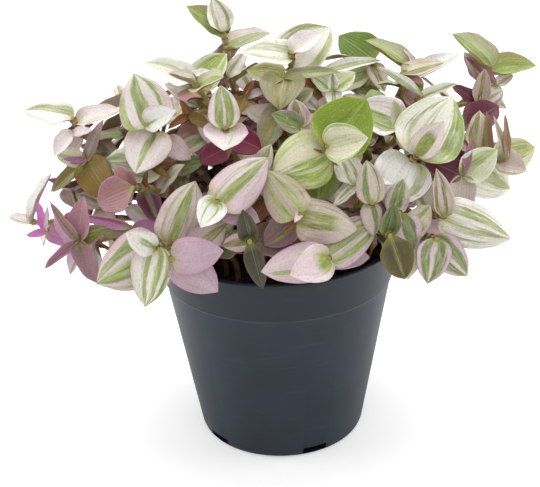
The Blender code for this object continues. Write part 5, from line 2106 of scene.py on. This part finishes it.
# %% [markdown]
# The fine pot is turned from the same outline as its solid, with many more sides. A bevel rounds
# its corners, and the drain slots are cut by blocks through the wall just above the base.

# %% The pot
FINE_SIDES = 144
POT_BEVEL = 0.22 * MM
BEVEL_FROM = math.radians(18)
SHARP_FROM = math.radians(35)


def from_bmesh(name, mesh):
    """A new object of the scene from a finished bmesh."""
    made = new_object(name, [], [], [])
    mesh.to_mesh(made.data)
    mesh.free()
    return made


def slot_blocks():
    """One object with a block for every drain slot."""
    depth = BASE_RADIUS + 2 * WALL - SLOT_INNER_RADIUS
    mesh = bmesh.new()
    for number in range(SLOT_COUNT):
        turn = Matrix.Rotation(SLOT_FIRST_ANGLE + 2 * math.pi * number / SLOT_COUNT, 4, "Z")
        middle = SLOT_FOOT + SLOT_HEIGHT / 2
        place = Matrix.Translation((SLOT_INNER_RADIUS + depth / 2, 0, middle))
        size = Matrix.Diagonal((depth, SLOT_WIDTH, SLOT_HEIGHT, 1))
        bmesh.ops.create_cube(mesh, size=1, matrix=turn @ place @ size)
    return from_bmesh("slots", mesh)


def make_pot():
    """The fine pot, in place of its solid."""
    points, faces = turned(pot_profile(), FINE_SIDES)
    pot = new_object("nursery_pot", points, [], faces)
    rounding = pot.modifiers.new("round", "BEVEL")
    rounding.width = POT_BEVEL
    rounding.segments = 2
    rounding.limit_method = "ANGLE"
    rounding.angle_limit = BEVEL_FROM
    cutter = slot_blocks()
    cut = pot.modifiers.new("slots", "BOOLEAN")
    cut.object = cutter
    cut.operation = "DIFFERENCE"
    settle(pot)
    bpy.data.objects.remove(cutter)
    pot.data.shade_smooth()
    pot.data.set_sharp_from_angle(angle=SHARP_FROM)
    pot.data.materials.clear()
    pot.data.materials.append(POT_PLASTIC)
    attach(pot, "root")
    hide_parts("pot")
    return pot


print("faces of the pot", len(make_pot().data.polygons))

# %% [markdown]
# Potting soil is a crumbly heap. The fine soil starts from the solid's outline, gets a lumpy top
# from a noise field, and crumbs are scattered over it by a Geometry Nodes tree with a fixed seed.

# %% The soil
SOIL_FINE_RINGS = 26
SOIL_FINE_SIDES = 96
CRUMB_SEED = 4
SOIL_INPUTS = {"Lumps": 2.2 * MM, "Spacing": 1.15 * MM, "Crumb size": 0.62 * MM, "Seed": CRUMB_SEED}
CRUMB_DENSITY = 1500000.0
CRUMB_SIZES = (0.45, 1.35)
CRUMB_FLATNESS = 0.7
FULL_TURNS = (6.3, 6.3, 6.3)
TOP_FADE = 0.2 * MM


def crumb_pattern():
    """One crumb: a small lumpy stone."""
    mesh = bmesh.new()
    bmesh.ops.create_icosphere(mesh, subdivisions=1, radius=1.0)
    draw = random.Random(CRUMB_SEED)
    for vertex in mesh.verts:
        vertex.co *= draw.uniform(0.7, 1.15)
    return from_bmesh("crumb pattern", mesh)


def soil_tree(values):
    """The tree: a lumpy top with crumbs scattered on it."""
    inputs = [("Soil", "Geometry", None)] + tree_inputs(values)
    board, given, result = new_group("crumbly soil", "GeometryNodeTree", inputs,
                                     [("Soil", "Geometry")])
    place = board.node("GeometryNodeInputPosition").outputs[0]
    top = board.ramp(board.split(place)[2], SOIL_TOP - TOP_FADE, SOIL_TOP + TOP_FADE)
    lumps = board.minus(board.noise(place, 240.0, 3.0), 0.5)
    lift = board.times(board.times(lumps, top), given["Lumps"])
    ground = board.first("GeometryNodeSetPosition",
                         {"Geometry": given["Soil"], "Offset": board.triple(0.0, 0.0, lift)})
    seed = {"Seed": given["Seed"]}
    spread = board.first("GeometryNodeDistributePointsOnFaces",
                         {"Mesh": ground, "Selection": board.named("top"), **seed,
                          "Distance Min": given["Spacing"], "Density Max": CRUMB_DENSITY},
                         distribute_method="POISSON")
    spin = board.first("FunctionNodeRandomValue", {"Max": FULL_TURNS, **seed},
                       data_type="FLOAT_VECTOR")
    least, most = CRUMB_SIZES
    size = board.fed("FunctionNodeRandomValue", {2: least, 3: most, **seed}, data_type="FLOAT")
    size = board.times(size.outputs[1], given["Crumb size"])
    shape = board.fed("GeometryNodeObjectInfo", {"Object": given["Crumb"]}).outputs["Geometry"]
    scale = board.triple(size, board.times(size, CRUMB_FLATNESS), size)
    crumbs = board.first("GeometryNodeInstanceOnPoints", {"Points": spread, "Instance": shape,
                                                          "Rotation": spin, "Scale": scale})
    joined = board.node("GeometryNodeJoinGeometry")
    for shape in (crumbs, ground):
        board.feed(joined.inputs[0], shape)
    real = board.first("GeometryNodeRealizeInstances", {0: joined.outputs[0]})
    board.feed(result[0], board.material(real, SOIL_LOOK))
    return board.tree


def make_soil():
    """The fine soil, in place of its solid."""
    points, faces = turned(soil_profile(SOIL_FINE_RINGS), SOIL_FINE_SIDES)
    soil = new_object("crumbly_soil", points, [], faces)
    above = [float(face.center.z > SOIL_TOP) for face in soil.data.polygons]
    store(soil.data, "top", "FLOAT", above, "FACE")
    crumb = crumb_pattern()
    values = {"Crumb": crumb, **SOIL_INPUTS}
    grow(soil, soil_tree(values), values)
    bpy.data.objects.remove(crumb)
    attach(soil, "root")
    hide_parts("soil")
    return soil


print("faces of the soil", len(make_soil().data.polygons))
